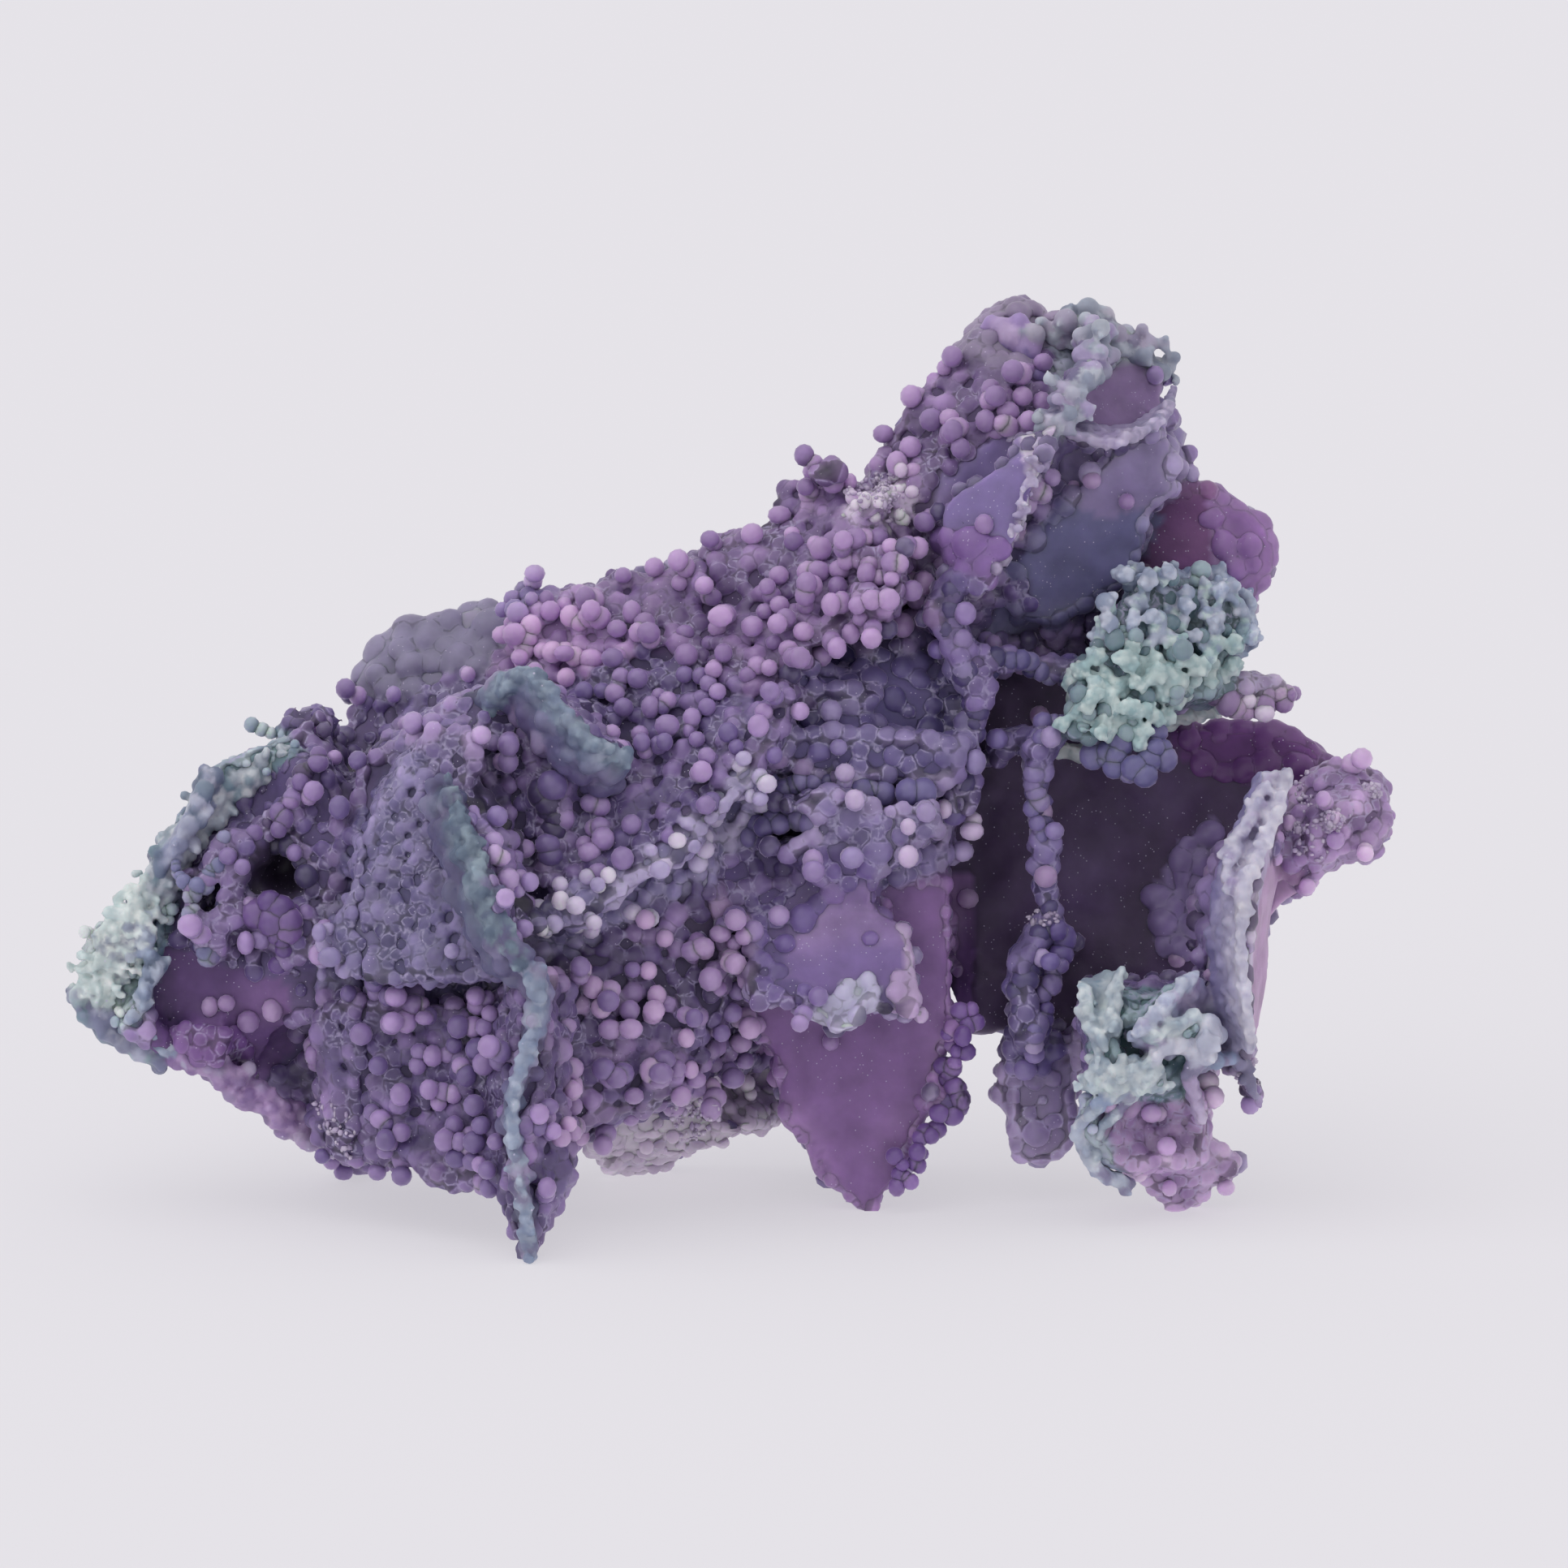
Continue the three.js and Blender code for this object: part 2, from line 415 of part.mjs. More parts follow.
// A lump sunk in its host, so that it rises by no more than a set height.
function lumpGeometry({ point, normal }, [low, high], rise, random) {
  const radius = low + (high - low) * random();
  const centre = point.clone().addScaledVector(normal, rise - radius);
  return new THREE.IcosahedronGeometry(radius, 0)
    .rotateX(Math.PI * random())
    .rotateY(Math.PI * random())
    .translate(centre.x, centre.y, centre.z);
}

function lumpSolids(hosts) {
  const random = seeded(GRAPE_SEED);
  return LUMPS.flatMap(({ host, spacing, radius, rise }) =>
    scatter(hosts[host], spacing, random).map((place) => solidOf(lumpGeometry(place, radius, rise, random))),
  );
}

// Turns the drawing so that the face leans back, and cuts the lowest tips flat on the resting plane.
function standUp(solid) {
  const geometry = geometryOf(solid)
    .rotateX(THREE.MathUtils.degToRad(90 - FACE_LEAN_DEG))
    .translate(0, 0, -REST_HEIGHT);
  const ground = new THREE.BoxGeometry(400, 400, 40).translate(0, 0, -20);
  return solidOf(geometry).subtract(solidOf(ground));
}

// The cut can free a crumb that hung by an edge: only the body itself is kept.
function largestOf(solid) {
  return solid.decompose().reduce((best, body) => (body.volume() > best.volume() ? body : best));
}

function specimenGeometry() {
  const hosts = {};
  for (const [name, points] of Object.entries(MASSES)) hosts[name] = hullOf(points);
  for (const [name, sheet] of Object.entries(SHEETS)) hosts[name] = sheetGeometry(sheet);
  const body = join([
    ...Object.values(hosts).map(solidOf),
    ...Object.values(RIBS).map(ribGeometry).map(solidOf),
    ...lumpSolids(hosts),
  ]);
  const hollowed = Object.values(HOLLOWS).reduce((left, hollow) => left.subtract(hollowSolid(hollow)), body);
  const geometry = geometryOf(largestOf(standUp(hollowed)));
  geometry.computeBoundingBox();
  const middle = geometry.boundingBox.getCenter(new THREE.Vector3());
  return geometry.translate(-middle.x, -middle.y, 0);
}

const chalcedony = new THREE.Mesh(
  specimenGeometry(),
  new THREE.MeshStandardMaterial({ color: LILAC, roughness: 0.45, metalness: 0 }),
);
chalcedony.name = "chalcedony";

const specimen = new THREE.Group();
specimen.add(chalcedony);

export default specimen;
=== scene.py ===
"""Looks of a botryoidal chalcedony specimen.

A grown body stands for the faceted solid. A crust of grapes that have run together covers it, with
single grapes on the crust. Crests run down its ribs, a blue-green lace grows on its right side, and
quartz sugar sits on a few spots.
"""

import logging
import math
from collections.abc import Callable
from dataclasses import dataclass, field, fields
from enum import Enum

import bmesh
import bpy
import numpy as np
from bpy.types import Material, Mesh, Node, NodeSocket, NodeTree, Object
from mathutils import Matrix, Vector, noise
from mathutils.bvhtree import BVHTree
from mathutils.kdtree import KDTree
from numpy import ndarray as Rows
from numpy.random import Generator as Random


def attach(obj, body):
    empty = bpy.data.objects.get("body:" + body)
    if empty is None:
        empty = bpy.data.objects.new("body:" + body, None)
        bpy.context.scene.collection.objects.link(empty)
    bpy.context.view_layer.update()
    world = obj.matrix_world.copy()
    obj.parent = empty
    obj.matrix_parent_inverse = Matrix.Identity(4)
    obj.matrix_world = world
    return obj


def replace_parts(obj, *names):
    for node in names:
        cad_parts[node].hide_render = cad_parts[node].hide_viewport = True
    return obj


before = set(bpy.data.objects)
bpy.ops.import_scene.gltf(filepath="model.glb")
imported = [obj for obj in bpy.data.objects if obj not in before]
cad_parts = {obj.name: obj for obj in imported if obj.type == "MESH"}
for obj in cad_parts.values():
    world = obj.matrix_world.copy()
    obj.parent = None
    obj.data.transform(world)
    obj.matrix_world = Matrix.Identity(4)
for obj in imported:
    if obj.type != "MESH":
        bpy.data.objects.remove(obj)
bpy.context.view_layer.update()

LOG = logging.getLogger("chalcedony")
MM = 0.001
NODE = "chalcedony"
BODY = "root"
MOST_FACES = 190_000
SAME_PLACE = 1e-6
NOISE_STRETCH = 1.6
SEED = 4127

PHOTO_WIDTH_PX = 1932
PHOTO_PX_PER_MM = 12.0
PHOTO_ZERO_PX = (900.0, 1560.0)

Outline = tuple[tuple[float, float], ...]
Path = tuple[tuple[float, float, float, float], ...]
Colour = tuple[float, float, float]


def linear(hex_colour: str) -> Colour:
    """Turns an sRGB hex colour, such as "745C94", into linear red, green and blue."""
    parts = (int(hex_colour[i : i + 2], 16) / 255 for i in (0, 2, 4))
    return tuple(c / 12.92 if c <= 0.04045 else ((c + 0.055) / 1.055) ** 2.4 for c in parts)


def smooth_step(low: float, high: float, value: Rows) -> Rows:
    """Gives the share from 0 to 1 to which each value has risen from low to high, with soft ends."""
    t = np.clip((value - low) / (high - low), 0.0, 1.0)
    return t * t * (3 - 2 * t)


def blend(start: Rows, end: Rows, share: Rows | float) -> Rows:
    """Mixes two colours, from the start at share 0 to the end at share 1."""
    return start + (end - start) * share


def unit(vectors: Rows) -> Rows:
    """Scales each row to length 1."""
    return vectors / np.maximum(np.linalg.norm(vectors, axis=1, keepdims=True), 1e-12)


class Patches(Enum):
    """Soft noises over the specimen: how large each one's patches are in mm, and what shifts it."""

    BULGES = (7.0, 3.1)
    RIPPLES = (2.2, 9.7)
    BODY_LIGHT = (9.0, 33.0)
    BARE_STONE = (16.0, 5.3)
    SKIN_TONE = (5.0, 21.0)
    PAINTED_LIGHT_AND_DUST = (5.0, 19.0)
    CROWDING = (6.0, 41.0)
    GRAPE_TONE = (7.0, 51.0)
    PILES = (3.6, 61.0)
    CREST_TINT = (3.0, 71.0)
    CREST_GLINT = (2.0, 77.0)
    LACE_HEIGHT = (2.6, 13.0)
    LACE_TINT = (5.0, 31.0)

    def at(self, points: Rows) -> Rows:
        """Reads the noise at points in metres, from about -1 to 1."""
        scale_mm, shift = self.value
        return np.array([noise.noise(Vector(p)) for p in points / (scale_mm * MM) + shift]) * NOISE_STRETCH


def aside(facing: Rows) -> tuple[Rows, Rows]:
    """Finds two directions square to each facing and to each other.

    Args:
        facing: Rows of length 1.

    Returns:
        The two directions for each row.
    """
    upright = np.abs(facing[:, 2:3]) >= 0.9
    side = unit(np.cross(np.where(upright, [[1.0, 0.0, 0.0]], [[0.0, 0.0, 1.0]]), facing))
    return side, np.cross(facing, side)


def tree_of(points: Rows) -> KDTree:
    """Prepares the search for the nearest of some points.

    Args:
        points: Rows in metres.

    Returns:
        The tree, which gives a point's place in the rows.
    """
    tree = KDTree(len(points))
    for i, point in enumerate(points):
        tree.insert(point, i)
    tree.balance()
    return tree


@dataclass(frozen=True)
class Face:
    """The specimen's best face as it is drawn: u to the right, v up the face, out of the face.

    The face leans back once the specimen stands, and its drawing's zero lies at zero_mm there.
    """

    lean_deg: float = 10.0
    zero_mm: tuple[float, float, float] = (0.231, -11.331, -4.2)

    def axes(self) -> Rows:
        """Finds the face's directions.

        Returns:
            The ways of u, v and out in the row frame, one in each row.
        """
        lean = math.radians(self.lean_deg)
        rise, run = math.sin(lean), math.cos(lean)
        return np.array([[1, 0, 0], [0, rise, run], [0, -run, rise]])

    def to_frame(self, drawn: Rows) -> Rows:
        """Turns rows of u, v, out in mm into rows of x, y, z in metres."""
        return (np.asarray(drawn, float) @ self.axes() + np.array(self.zero_mm)) * MM

    def to_face(self, points: Rows) -> Rows:
        """Turns rows of x, y, z in metres into rows of u, v, out in mm."""
        return (points / MM - np.array(self.zero_mm)) @ self.axes().T


FACE = Face()
TOWARD_VIEWER = FACE.axes()[2]


def facing_viewer(count: int) -> Rows:
    """Gives rows of the direction toward the viewer."""
    return np.tile(TOWARD_VIEWER, (count, 1))


@dataclass(frozen=True)
class Tint:
    """A growth's colours: in its shade, in its light, and on grapes that stand proud, which is partly their
    paler tone and partly painted light.
    """

    deep: str
    pale: str
    proud: str

    def linear(self) -> tuple[Rows, Rows, Rows]:
        """Gives the three colours in linear values."""
        return np.array(linear(self.deep)), np.array(linear(self.pale)), np.array(linear(self.proud))


class Where(Enum):
    """Where grapes grow: all over a surface, only on its sharp rims, or nowhere."""

    ALL = "all"
    RIMS = "rims"
    NOWHERE = "nowhere"


@dataclass(frozen=True)
class Growth:
    """How grapes cover a surface. Spacing and lift are in grape radii.

    Raised is the share of grapes that carry another one. Where is how much of the surface has grapes.
    Swell is how far the surface under them bulges.
    """

    radius_mm: tuple[float, float] = (0.85, 1.2)
    spacing: float = 1.25
    lift: tuple[float, float] = (-0.35, 0.35)
    raised: float = 0.22
    where: Where = Where.ALL
    swell_mm: float = 0.5


class Skin(Enum):
    """Whether the surface between the grapes shows the zone's shade or its light colour."""

    SHADED = 0.15
    MIXED = 0.5
    LIGHT = 1.0


@dataclass(frozen=True)
class Zone:
    """A patch of the face with one way of growing and one set of colours.

    Its outline is in u and v, and the range of out tells blades from what lies behind them. A zone that
    wraps also covers the sides that face away.
    """

    name: str
    outline: Outline
    growth: Growth
    tint: Tint
    skin: Skin = Skin.SHADED
    out_mm: tuple[float, float] = (-60.0, 60.0)
    wraps: bool = False

    def holds(self, drawn: Rows) -> Rows:
        """Tells which drawn points lie in the zone.

        Args:
            drawn: Rows of u, v, out in mm.

        Returns:
            True or False for each row.
        """
        u, v, out = drawn.T
        inside = np.zeros(len(drawn), bool)
        for (u0, v0), (u1, v1) in zip(self.outline, self.outline[1:] + self.outline[:1]):
            if v0 == v1:
                continue
            crosses = (v0 > v) != (v1 > v)
            inside ^= crosses & (u < (u1 - u0) * (v - v0) / (v1 - v0) + u0)
        return inside & (out >= self.out_mm[0]) & (out <= self.out_mm[1])


PURPLE = Tint("382F4F", "7A6A9C", "B69CCA")
PINK = Tint("44345A", "8E76A6", "C4A6D2")
BLUE_LILAC = Tint("443E64", "7A729E", "AEA2C8")
INDIGO = Tint("3C3A5E", "74729C", "A09ABE")
MAGENTA = Tint("3C2A54", "72558A", "A884BA")
NIGHT = Tint("352C42", "5C4A6C", "74608A")
PALE = Tint("6A5E88", "A89ABE", "CFC4DC")
TEAL = Tint("4C6472", "7C92A0", "BACACE")
SLATE = Tint("424E66", "65738B", "9AA8B8")
MINT = Tint("7C969A", "C2D0D0", "F0F6F2")
SKY = Tint("5C6784", "929FBA", "BEC6D4")
STONE = Tint("988CA2", "CABED0", "DED6E0")
GREY_LILAC = Tint("565070", "85809E", "A8A0BC")
PETAL = Tint("566A7C", "9DACBA", "DCE3E4")
GREY_BLUE = Tint("5E667C", "9298AA", "C4C8D2")
FORK_BLUE = Tint("50547A", "8082A8", "B4B2CC")
LOW_PETAL = Tint("626E86", "9CA8B8", "DCE2E6")

GRAPES = Growth(lift=(-0.6, 0.35), raised=0.16)
BIG_GRAPES = Growth((0.9, 1.3), spacing=1.4, lift=(-0.35, 0.5), raised=0.5)
FINE_GRAPES = Growth((0.7, 1.05), spacing=1.3, lift=(-0.25, 0.45), raised=0.03, swell_mm=0.3)
CRUST_GRAPES = Growth((0.45, 0.75), spacing=1.25, lift=(-0.3, 0.5), raised=0.25)
FEW_GRAPES = Growth((0.9, 1.3), spacing=1.6, lift=(-0.75, 0.1), raised=0.12)
SMOOTH = Growth(where=Where.NOWHERE, swell_mm=0.2)
ROUGH = Growth((0.7, 1.2), spacing=1.7, lift=(-0.6, 0.2), raised=0.05, swell_mm=0.9)

ZONES: tuple[Zone, ...] = (
    Zone("tip_crust", ((-70, 25), (-67, 33), (-62.5, 37), (-60, 36), (-60, 30), (-61.5, 26), (-65, 23)),
         CRUST_GRAPES, MINT, Skin.LIGHT),
    Zone("left_crest", ((-70, 27), (-66, 36), (-62, 42), (-60, 47), (-56, 52), (-52, 54), (-47, 56),
         (-44, 53), (-49, 49), (-54, 45), (-56, 40), (-58, 34), (-60, 26), (-63, 22)), CRUST_GRAPES,
         Tint("566E7C", "8A9EAC", "C8D6DA"), Skin.MIXED),
    Zone("left_hole", ((-49, 38), (-49, 43), (-46, 44.5), (-43, 42), (-43.5, 38.5), (-46, 37)), SMOOTH,
         NIGHT),
    Zone("magenta_lumps", ((-57.5, 24), (-53, 25), (-50, 24), (-49, 20), (-51, 17), (-56, 18.5)),
         Growth((0.9, 1.4), spacing=1.1, lift=(-0.6, -0.1), raised=0.05),
         Tint("5C4078", "8C64A4", "B08CC2"), Skin.MIXED),
    Zone("left_floor", ((-60, 22), (-58, 33), (-51, 31), (-45, 29), (-45, 22), (-51, 16), (-56, 18)),
         Growth(where=Where.NOWHERE, swell_mm=0.6), MAGENTA, Skin.LIGHT),
    Zone("left_wing", ((-60, 30), (-55, 44), (-48, 53), (-41, 59), (-35, 58), (-35.5, 51), (-39, 43),
         (-42, 34), (-43.5, 22), (-52, 15), (-58, 18)), FEW_GRAPES, PURPLE, Skin.MIXED),
    Zone("triangle_blade", ((-21, 29), (-22.5, 34), (-25, 39), (-27, 44), (-28.5, 50), (-33, 53.5),
         (-37, 48), (-39.5, 42), (-43, 35), (-42, 28), (-30, 27.5)), FINE_GRAPES, BLUE_LILAC, Skin.MIXED,
         out_mm=(3, 60)),
    Zone("sugar_knob", ((11.5, 76.5), (12.5, 82), (16, 83.5), (19, 81), (19, 77), (15, 74.5)),
         CRUST_GRAPES, Tint("9A88B2", "DCC8E6", "F0E6F4"), Skin.LIGHT, out_mm=(-6, 60)),
    Zone("ledge", ((-20.5, 29.5), (-15, 32.5), (-8, 37), (-2, 39.5), (0.5, 43.5), (3.5, 47), (4, 50),
         (1, 51.5), (-2, 48), (-6, 44), (-11, 41), (-17, 38.5), (-21, 36)),
         Growth((0.75, 1.05), spacing=1.35, lift=(-0.3, 0.5), raised=0.45),
         Tint("6A648E", "B0A6CE", "E2D8EC"), Skin.MIXED, out_mm=(0, 60)),
    Zone("grey_plate", ((-43, 56), (-43, 62), (-36, 66), (-28, 70), (-20, 71), (-22, 65), (-27, 61),
         (-36, 58)), Growth((1.6, 2.6), spacing=1.0, lift=(-0.7, -0.25), raised=0.0),
         Tint("544E6A", "8A84A0", "AAA2B8"), Skin.LIGHT, out_mm=(-60, -12)),
    Zone("pink_bunch", ((-26, 60), (-24, 66), (-14, 69), (-10, 63), (-17, 60)),
         Growth((0.9, 1.3), spacing=1.3, lift=(-0.2, 0.4), raised=0.4),
         Tint("6A5482", "B696C8", "DAB8E2"), Skin.MIXED),
    Zone("ridge_top", ((-24, 64), (-14, 73), (-5, 75), (0, 78), (5, 81), (8, 86), (14, 87), (21, 84),
         (21, 66), (12, 64), (7, 61), (4, 58), (-4, 62), (-12, 64)), Growth((0.85, 1.2), raised=0.22),
         PINK, Skin.SHADED, out_mm=(-14, 60)),
    Zone("upper_slope", ((-24, 52), (-24, 66), (-12, 66), (-4, 63), (6, 61), (8, 58), (5, 52), (0, 46),
         (-4, 41), (-10, 38), (-19, 33), (-23, 40)), GRAPES, PURPLE, Skin.SHADED, out_mm=(-8, 60)),
    Zone("grape_recess", ((-20, 31), (-13, 34), (-6, 37), (-1, 39), (2, 34), (2, 26), (1, 15), (-7, 11),
         (-17, 10), (-20, 20)), BIG_GRAPES, Tint("362E4A", "8270A2", "CCB0D6"), Skin.SHADED,
         out_mm=(-8, 60)),
    Zone("lower_left", ((-45, 29), (-20, 30), (-18, 12), (-17, 0), (-24, -1), (-29, 4), (-37, 8),
         (-45, 7)), Growth(raised=0.3), Tint("352C4C", "756596", "B298C8")),
    Zone("top_ledge", ((5, 52), (5, 63), (16, 63), (24, 62), (25, 52), (22, 50), (8, 51)),
         Growth((1.2, 2.8), spacing=1.15, lift=(-0.85, -0.25), raised=0.1),
         Tint("484070", "8074A4", "B4A6CC"), Skin.MIXED, out_mm=(-8, 60)),
    Zone("bright_ledge", ((-1, 43), (5, 50.5), (16, 50.5), (24.5, 50), (25, 42), (19, 40), (15, 39),
         (14, 42), (5, 43)), Growth((0.9, 2.0), spacing=1.05, lift=(-0.75, 0.0), raised=0.12),
         Tint("4C446C", "9C8EBC", "D4C2E0"), Skin.MIXED, out_mm=(-8, 60)),
    Zone("shelf_lip", ((8, 23), (8, 27), (11, 27.6), (11.6, 29.6), (14.6, 29.4), (15.4, 26), (15.4, 24),
         (13, 23)), Growth((0.9, 1.5), spacing=1.0, lift=(-0.6, -0.1), raised=0.0),
         Tint("9C98BE", "C6C2DC", "E0DEEC"), Skin.LIGHT, out_mm=(2, 60)),
    Zone("hanging_middle", ((8, 28.6), (5.4, 30), (6, 33), (8.6, 35.4), (9.6, 38.4), (13, 39.6),
         (16.4, 38), (18, 33), (17, 28.6), (12, 27.4)),
         Growth((1.2, 1.8), spacing=3.2, lift=(-0.8, -0.5), raised=0.0, swell_mm=0.5),
         Tint("4C426C", "8A74AA", "B69CC6"), Skin.LIGHT, out_mm=(0, 60)),
    Zone("shelf_edge", ((16.5, 24), (17.5, 38), (21.5, 38), (21.5, 24)),
         Growth((0.8, 1.3), spacing=1.1, lift=(-0.6, -0.1), raised=0.05),
         Tint("7A6494", "C0A8CE", "DCCAE4"), Skin.LIGHT, out_mm=(0, 60)),
    Zone("hanging_shelf", ((-1, 25), (-1, 43), (5, 43.5), (14, 42), (15, 39), (20, 38), (20.5, 23),
         (9, 22)), Growth((1.0, 1.6), spacing=1.35, lift=(-0.75, 0.0), raised=0.16, swell_mm=0.4),
         Tint("473B66", "8674AA", "B8A2CC"), Skin.MIXED, out_mm=(0, 60)),
    # The middle blade's magenta is partly the stone's colour and partly painted glow of light through the
    # thin blade.
    Zone("middle_blade", ((2, 27), (3, 18), (8, 10), (13, 3), (16, 3), (21, 12), (25, 22), (25, 40),
         (2, 40)), Growth((0.8, 1.2), where=Where.RIMS, raised=0.0, swell_mm=0.25),
         Tint("5A4272", "9270A6", "B694C4"), Skin.LIGHT, out_mm=(-16, 2)),
    Zone("column", ((19.5, 64), (19.5, 44), (28, 44), (28, 58), (31, 60), (31, 70), (20, 71)),
         Growth((1.0, 1.5), spacing=1.2, lift=(-0.6, 0.1), raised=0.1),
         Tint("3A3256", "74649C", "A48EBE"), Skin.MIXED, out_mm=(-7, 60)),
    Zone("blade_foot", ((19.6, 67), (19.6, 74.2), (23, 75.4), (27.5, 73.8), (29.4, 72), (28.8, 67)),
         Growth((1.3, 2.2), spacing=1.1, lift=(-0.65, -0.15), raised=0.06),
         Tint("5A4478", "8C6CA8", "B092C6"), Skin.LIGHT, out_mm=(-5, 60)),
    Zone("blade_rim", ((30, 87.4), (29.8, 83), (31, 80), (29, 75), (30.4, 73.4), (33.4, 78), (35, 83),
         (34.4, 87.4)), SMOOTH, Tint("A294B6", "D0C2DC", "E6DCEC"), Skin.LIGHT, out_mm=(-6, 60)),
    Zone("smooth_blade", ((19.6, 72), (19.8, 80), (23, 82), (26, 84.4), (28.6, 86), (33.5, 87), (34, 81),
         (31, 74), (28.5, 70)), Growth(where=Where.NOWHERE, swell_mm=0.15),
         Tint("5A4E7E", "8E7EB0", "B8A6CC"), Skin.LIGHT, out_mm=(-5, 60)),
    Zone("pocket", ((36, 86), (36.5, 90.5), (39, 93), (43, 93), (45.5, 90), (44.5, 86.5), (41, 84.8)),
         SMOOTH, Tint("543F6C", "967EAA", "B8A6C6"), Skin.LIGHT, out_mm=(-60, -2)),
    Zone("top_crest", ((31, 85), (33, 92), (33, 97), (38, 101), (44, 98), (48, 94), (43, 92), (39, 90),
         (36, 85)), Growth((0.6, 1.1), spacing=1.15, lift=(-0.6, 0.1), raised=0.0),
         Tint("777E92", "A8ACBC", "D2D4DC"), Skin.LIGHT),
    Zone("top_cap", ((22, 94), (24, 102), (33, 102.5), (38, 101), (34, 95), (30, 92)),
         Growth((1.0, 1.8), spacing=1.1, lift=(-0.6, -0.1), raised=0.0),
         Tint("6A5E80", "988AA6", "B2A8BC"), Skin.LIGHT),
    Zone("top_fin", ((10, 80), (18, 92), (23, 98), (32, 97), (34, 88), (30, 84.5), (22, 79), (19, 70),
         (16, 76)), Growth((0.9, 1.3), lift=(-0.5, 0.35), raised=0.28), PINK),
    Zone("fin_plate", ((34, 84), (34, 79), (38, 77), (44, 78), (47, 80), (47, 86), (44, 88), (38, 85)),
         Growth((0.9, 1.5), where=Where.RIMS, raised=0.05), Tint("584E76", "9082AC", "BAAED0"),
         Skin.LIGHT),
    Zone("blue_plate", ((26, 64), (40, 68), (45, 77), (40, 80), (34, 79), (31, 75)),
         Growth((1.1, 1.8), where=Where.RIMS, raised=0.03), INDIGO, Skin.LIGHT),
    Zone("violet_edge", ((50.5, 63), (49.6, 70), (49.4, 79), (50, 83), (56, 80), (59.5, 73), (57.5, 63)),
         Growth((1.4, 2.4), spacing=1.15, lift=(-0.75, -0.3), raised=0.0),
         Tint("5C4476", "9874AC", "BA9CC6"), Skin.LIGHT, out_mm=(-60, -8)),
    # The violet plate's magenta is partly the stone's colour and partly painted glow of light through the
    # thin plate.
    Zone("violet_plate", ((40, 80), (42, 70), (50, 64), (56, 64), (58, 73), (55, 79), (49, 81.5),
         (45, 82)), Growth((1.2, 2.0), where=Where.RIMS, raised=0.0, swell_mm=0.2),
         Tint("42264E", "744A7E", "9C709E"), Skin.LIGHT, out_mm=(-60, -8)),
    Zone("lace_bed", ((33.5, 53), (34, 58), (38, 66), (40, 70), (43, 72), (50, 71), (54.5, 67), (53, 61),
         (50, 57.5), (44, 55), (38, 52.5)), Growth((0.6, 1.2), spacing=1.1, lift=(-0.4, 0.4), raised=0.2),
         Tint("3A4A56", "66808A", "9CB0B6"), Skin.MIXED, out_mm=(-9, 60)),
    Zone("right_arm", ((46, 58), (46, 63), (60, 63), (60, 57.5), (52, 57.5)), GRAPES,
         Tint("7A6A8C", "BEAECE", "DCCEE4")),
    Zone("cave_rib", ((26, 62), (38, 62), (38, 50), (35, 46), (36, 33), (33, 20), (28, 20), (28, 40),
         (29, 50)), Growth((1.0, 1.4), spacing=1.25, lift=(-0.55, 0.1), raised=0.12),
         Tint("3E365C", "7A6CA4", "AC9CC6"), Skin.MIXED, out_mm=(-7.5, 6)),
    Zone("wine_wall", ((44, 58), (60, 58), (65, 50), (58, 47), (53, 50), (47, 52)),
         Growth((1.8, 2.9), spacing=1.0, lift=(-0.75, -0.3), raised=0.0),
         Tint("3C2049", "744886", "9C6CA8"), Skin.LIGHT, out_mm=(-60, -9)),
    Zone("cave_lobes", ((44.5, 32.5), (43.5, 38), (46.5, 43), (50.5, 46), (51, 32.5)),
         Growth((1.3, 2.1), spacing=1.1, lift=(-0.7, -0.1), raised=0.05),
         Tint("564A6E", "9684B4", "C2AAD2"), Skin.LIGHT, out_mm=(-60, 4)),
    Zone("cave", ((22, 22), (22, 62), (40, 62), (56, 57), (57, 44), (55, 30), (50, 22), (36, 20)),
         Growth(where=Where.NOWHERE, swell_mm=0.8), NIGHT, Skin.LIGHT, out_mm=(-60, -7)),
    Zone("pale_blade", ((49, 20), (49, 37), (51.5, 45), (53, 50), (57.5, 51), (56.5, 46), (53.6, 36),
         (53, 20)), Growth((0.8, 1.2), where=Where.RIMS, raised=0.0), Tint("847898", "B8ACCC", "E2D8E8"),
         Skin.LIGHT, out_mm=(-4, 60)),
    Zone("pink_side", ((52.6, 19), (52.4, 36), (54.6, 42), (58.4, 41), (59.5, 30), (57, 22)),
         Growth(where=Where.NOWHERE, swell_mm=0.3), Tint("7A5A88", "B896BE", "D0B8D2"), Skin.LIGHT,
         wraps=True),
    Zone("right_lobe", ((55.5, 37), (56, 49), (58, 53), (63, 54), (70, 51), (70, 42), (62, 37)),
         Growth((0.8, 1.2), lift=(-0.45, 0.35), raised=0.22), Tint("6C5680", "BA9ECC", "DCC0E4")),
    Zone("petals", ((34.5, 19), (35, 30), (41.5, 31.5), (48, 30), (52, 26), (51, 21), (46, 17.5),
         (40, 17)), Growth((0.5, 0.9), spacing=1.2, lift=(-0.7, -0.1), raised=0.03),
         Tint("485E6A", "7E9AA4", "B8CACC"), Skin.MIXED, out_mm=(0, 60)),
    Zone("lobe_rim", ((34.8, 20), (35, 13), (38, 8), (41, 8.5), (39, 12), (37.8, 15), (38.4, 19.5)),
         Growth((0.6, 1.0), spacing=1.2, lift=(-0.5, 0.1), raised=0.05),
         Tint("6A7694", "AEB8D0", "D0D6E0"), Skin.LIGHT, out_mm=(-6, 60)),
    Zone("low_lobe", ((38, 19), (38, 8), (43, 5), (48, 3), (56, 6), (56, 12), (50, 20)),
         Growth((0.9, 1.3), lift=(-0.4, 0.2)), Tint("785F8C", "CAACD8", "E6D0EA"), Skin.MIXED),
    Zone("dark_lobe", ((25, 26), (25, 9), (36, 9), (37, 26)),
         Growth((1.1, 1.9), spacing=1.4, lift=(-0.8, -0.1), raised=0.08, swell_mm=0.5),
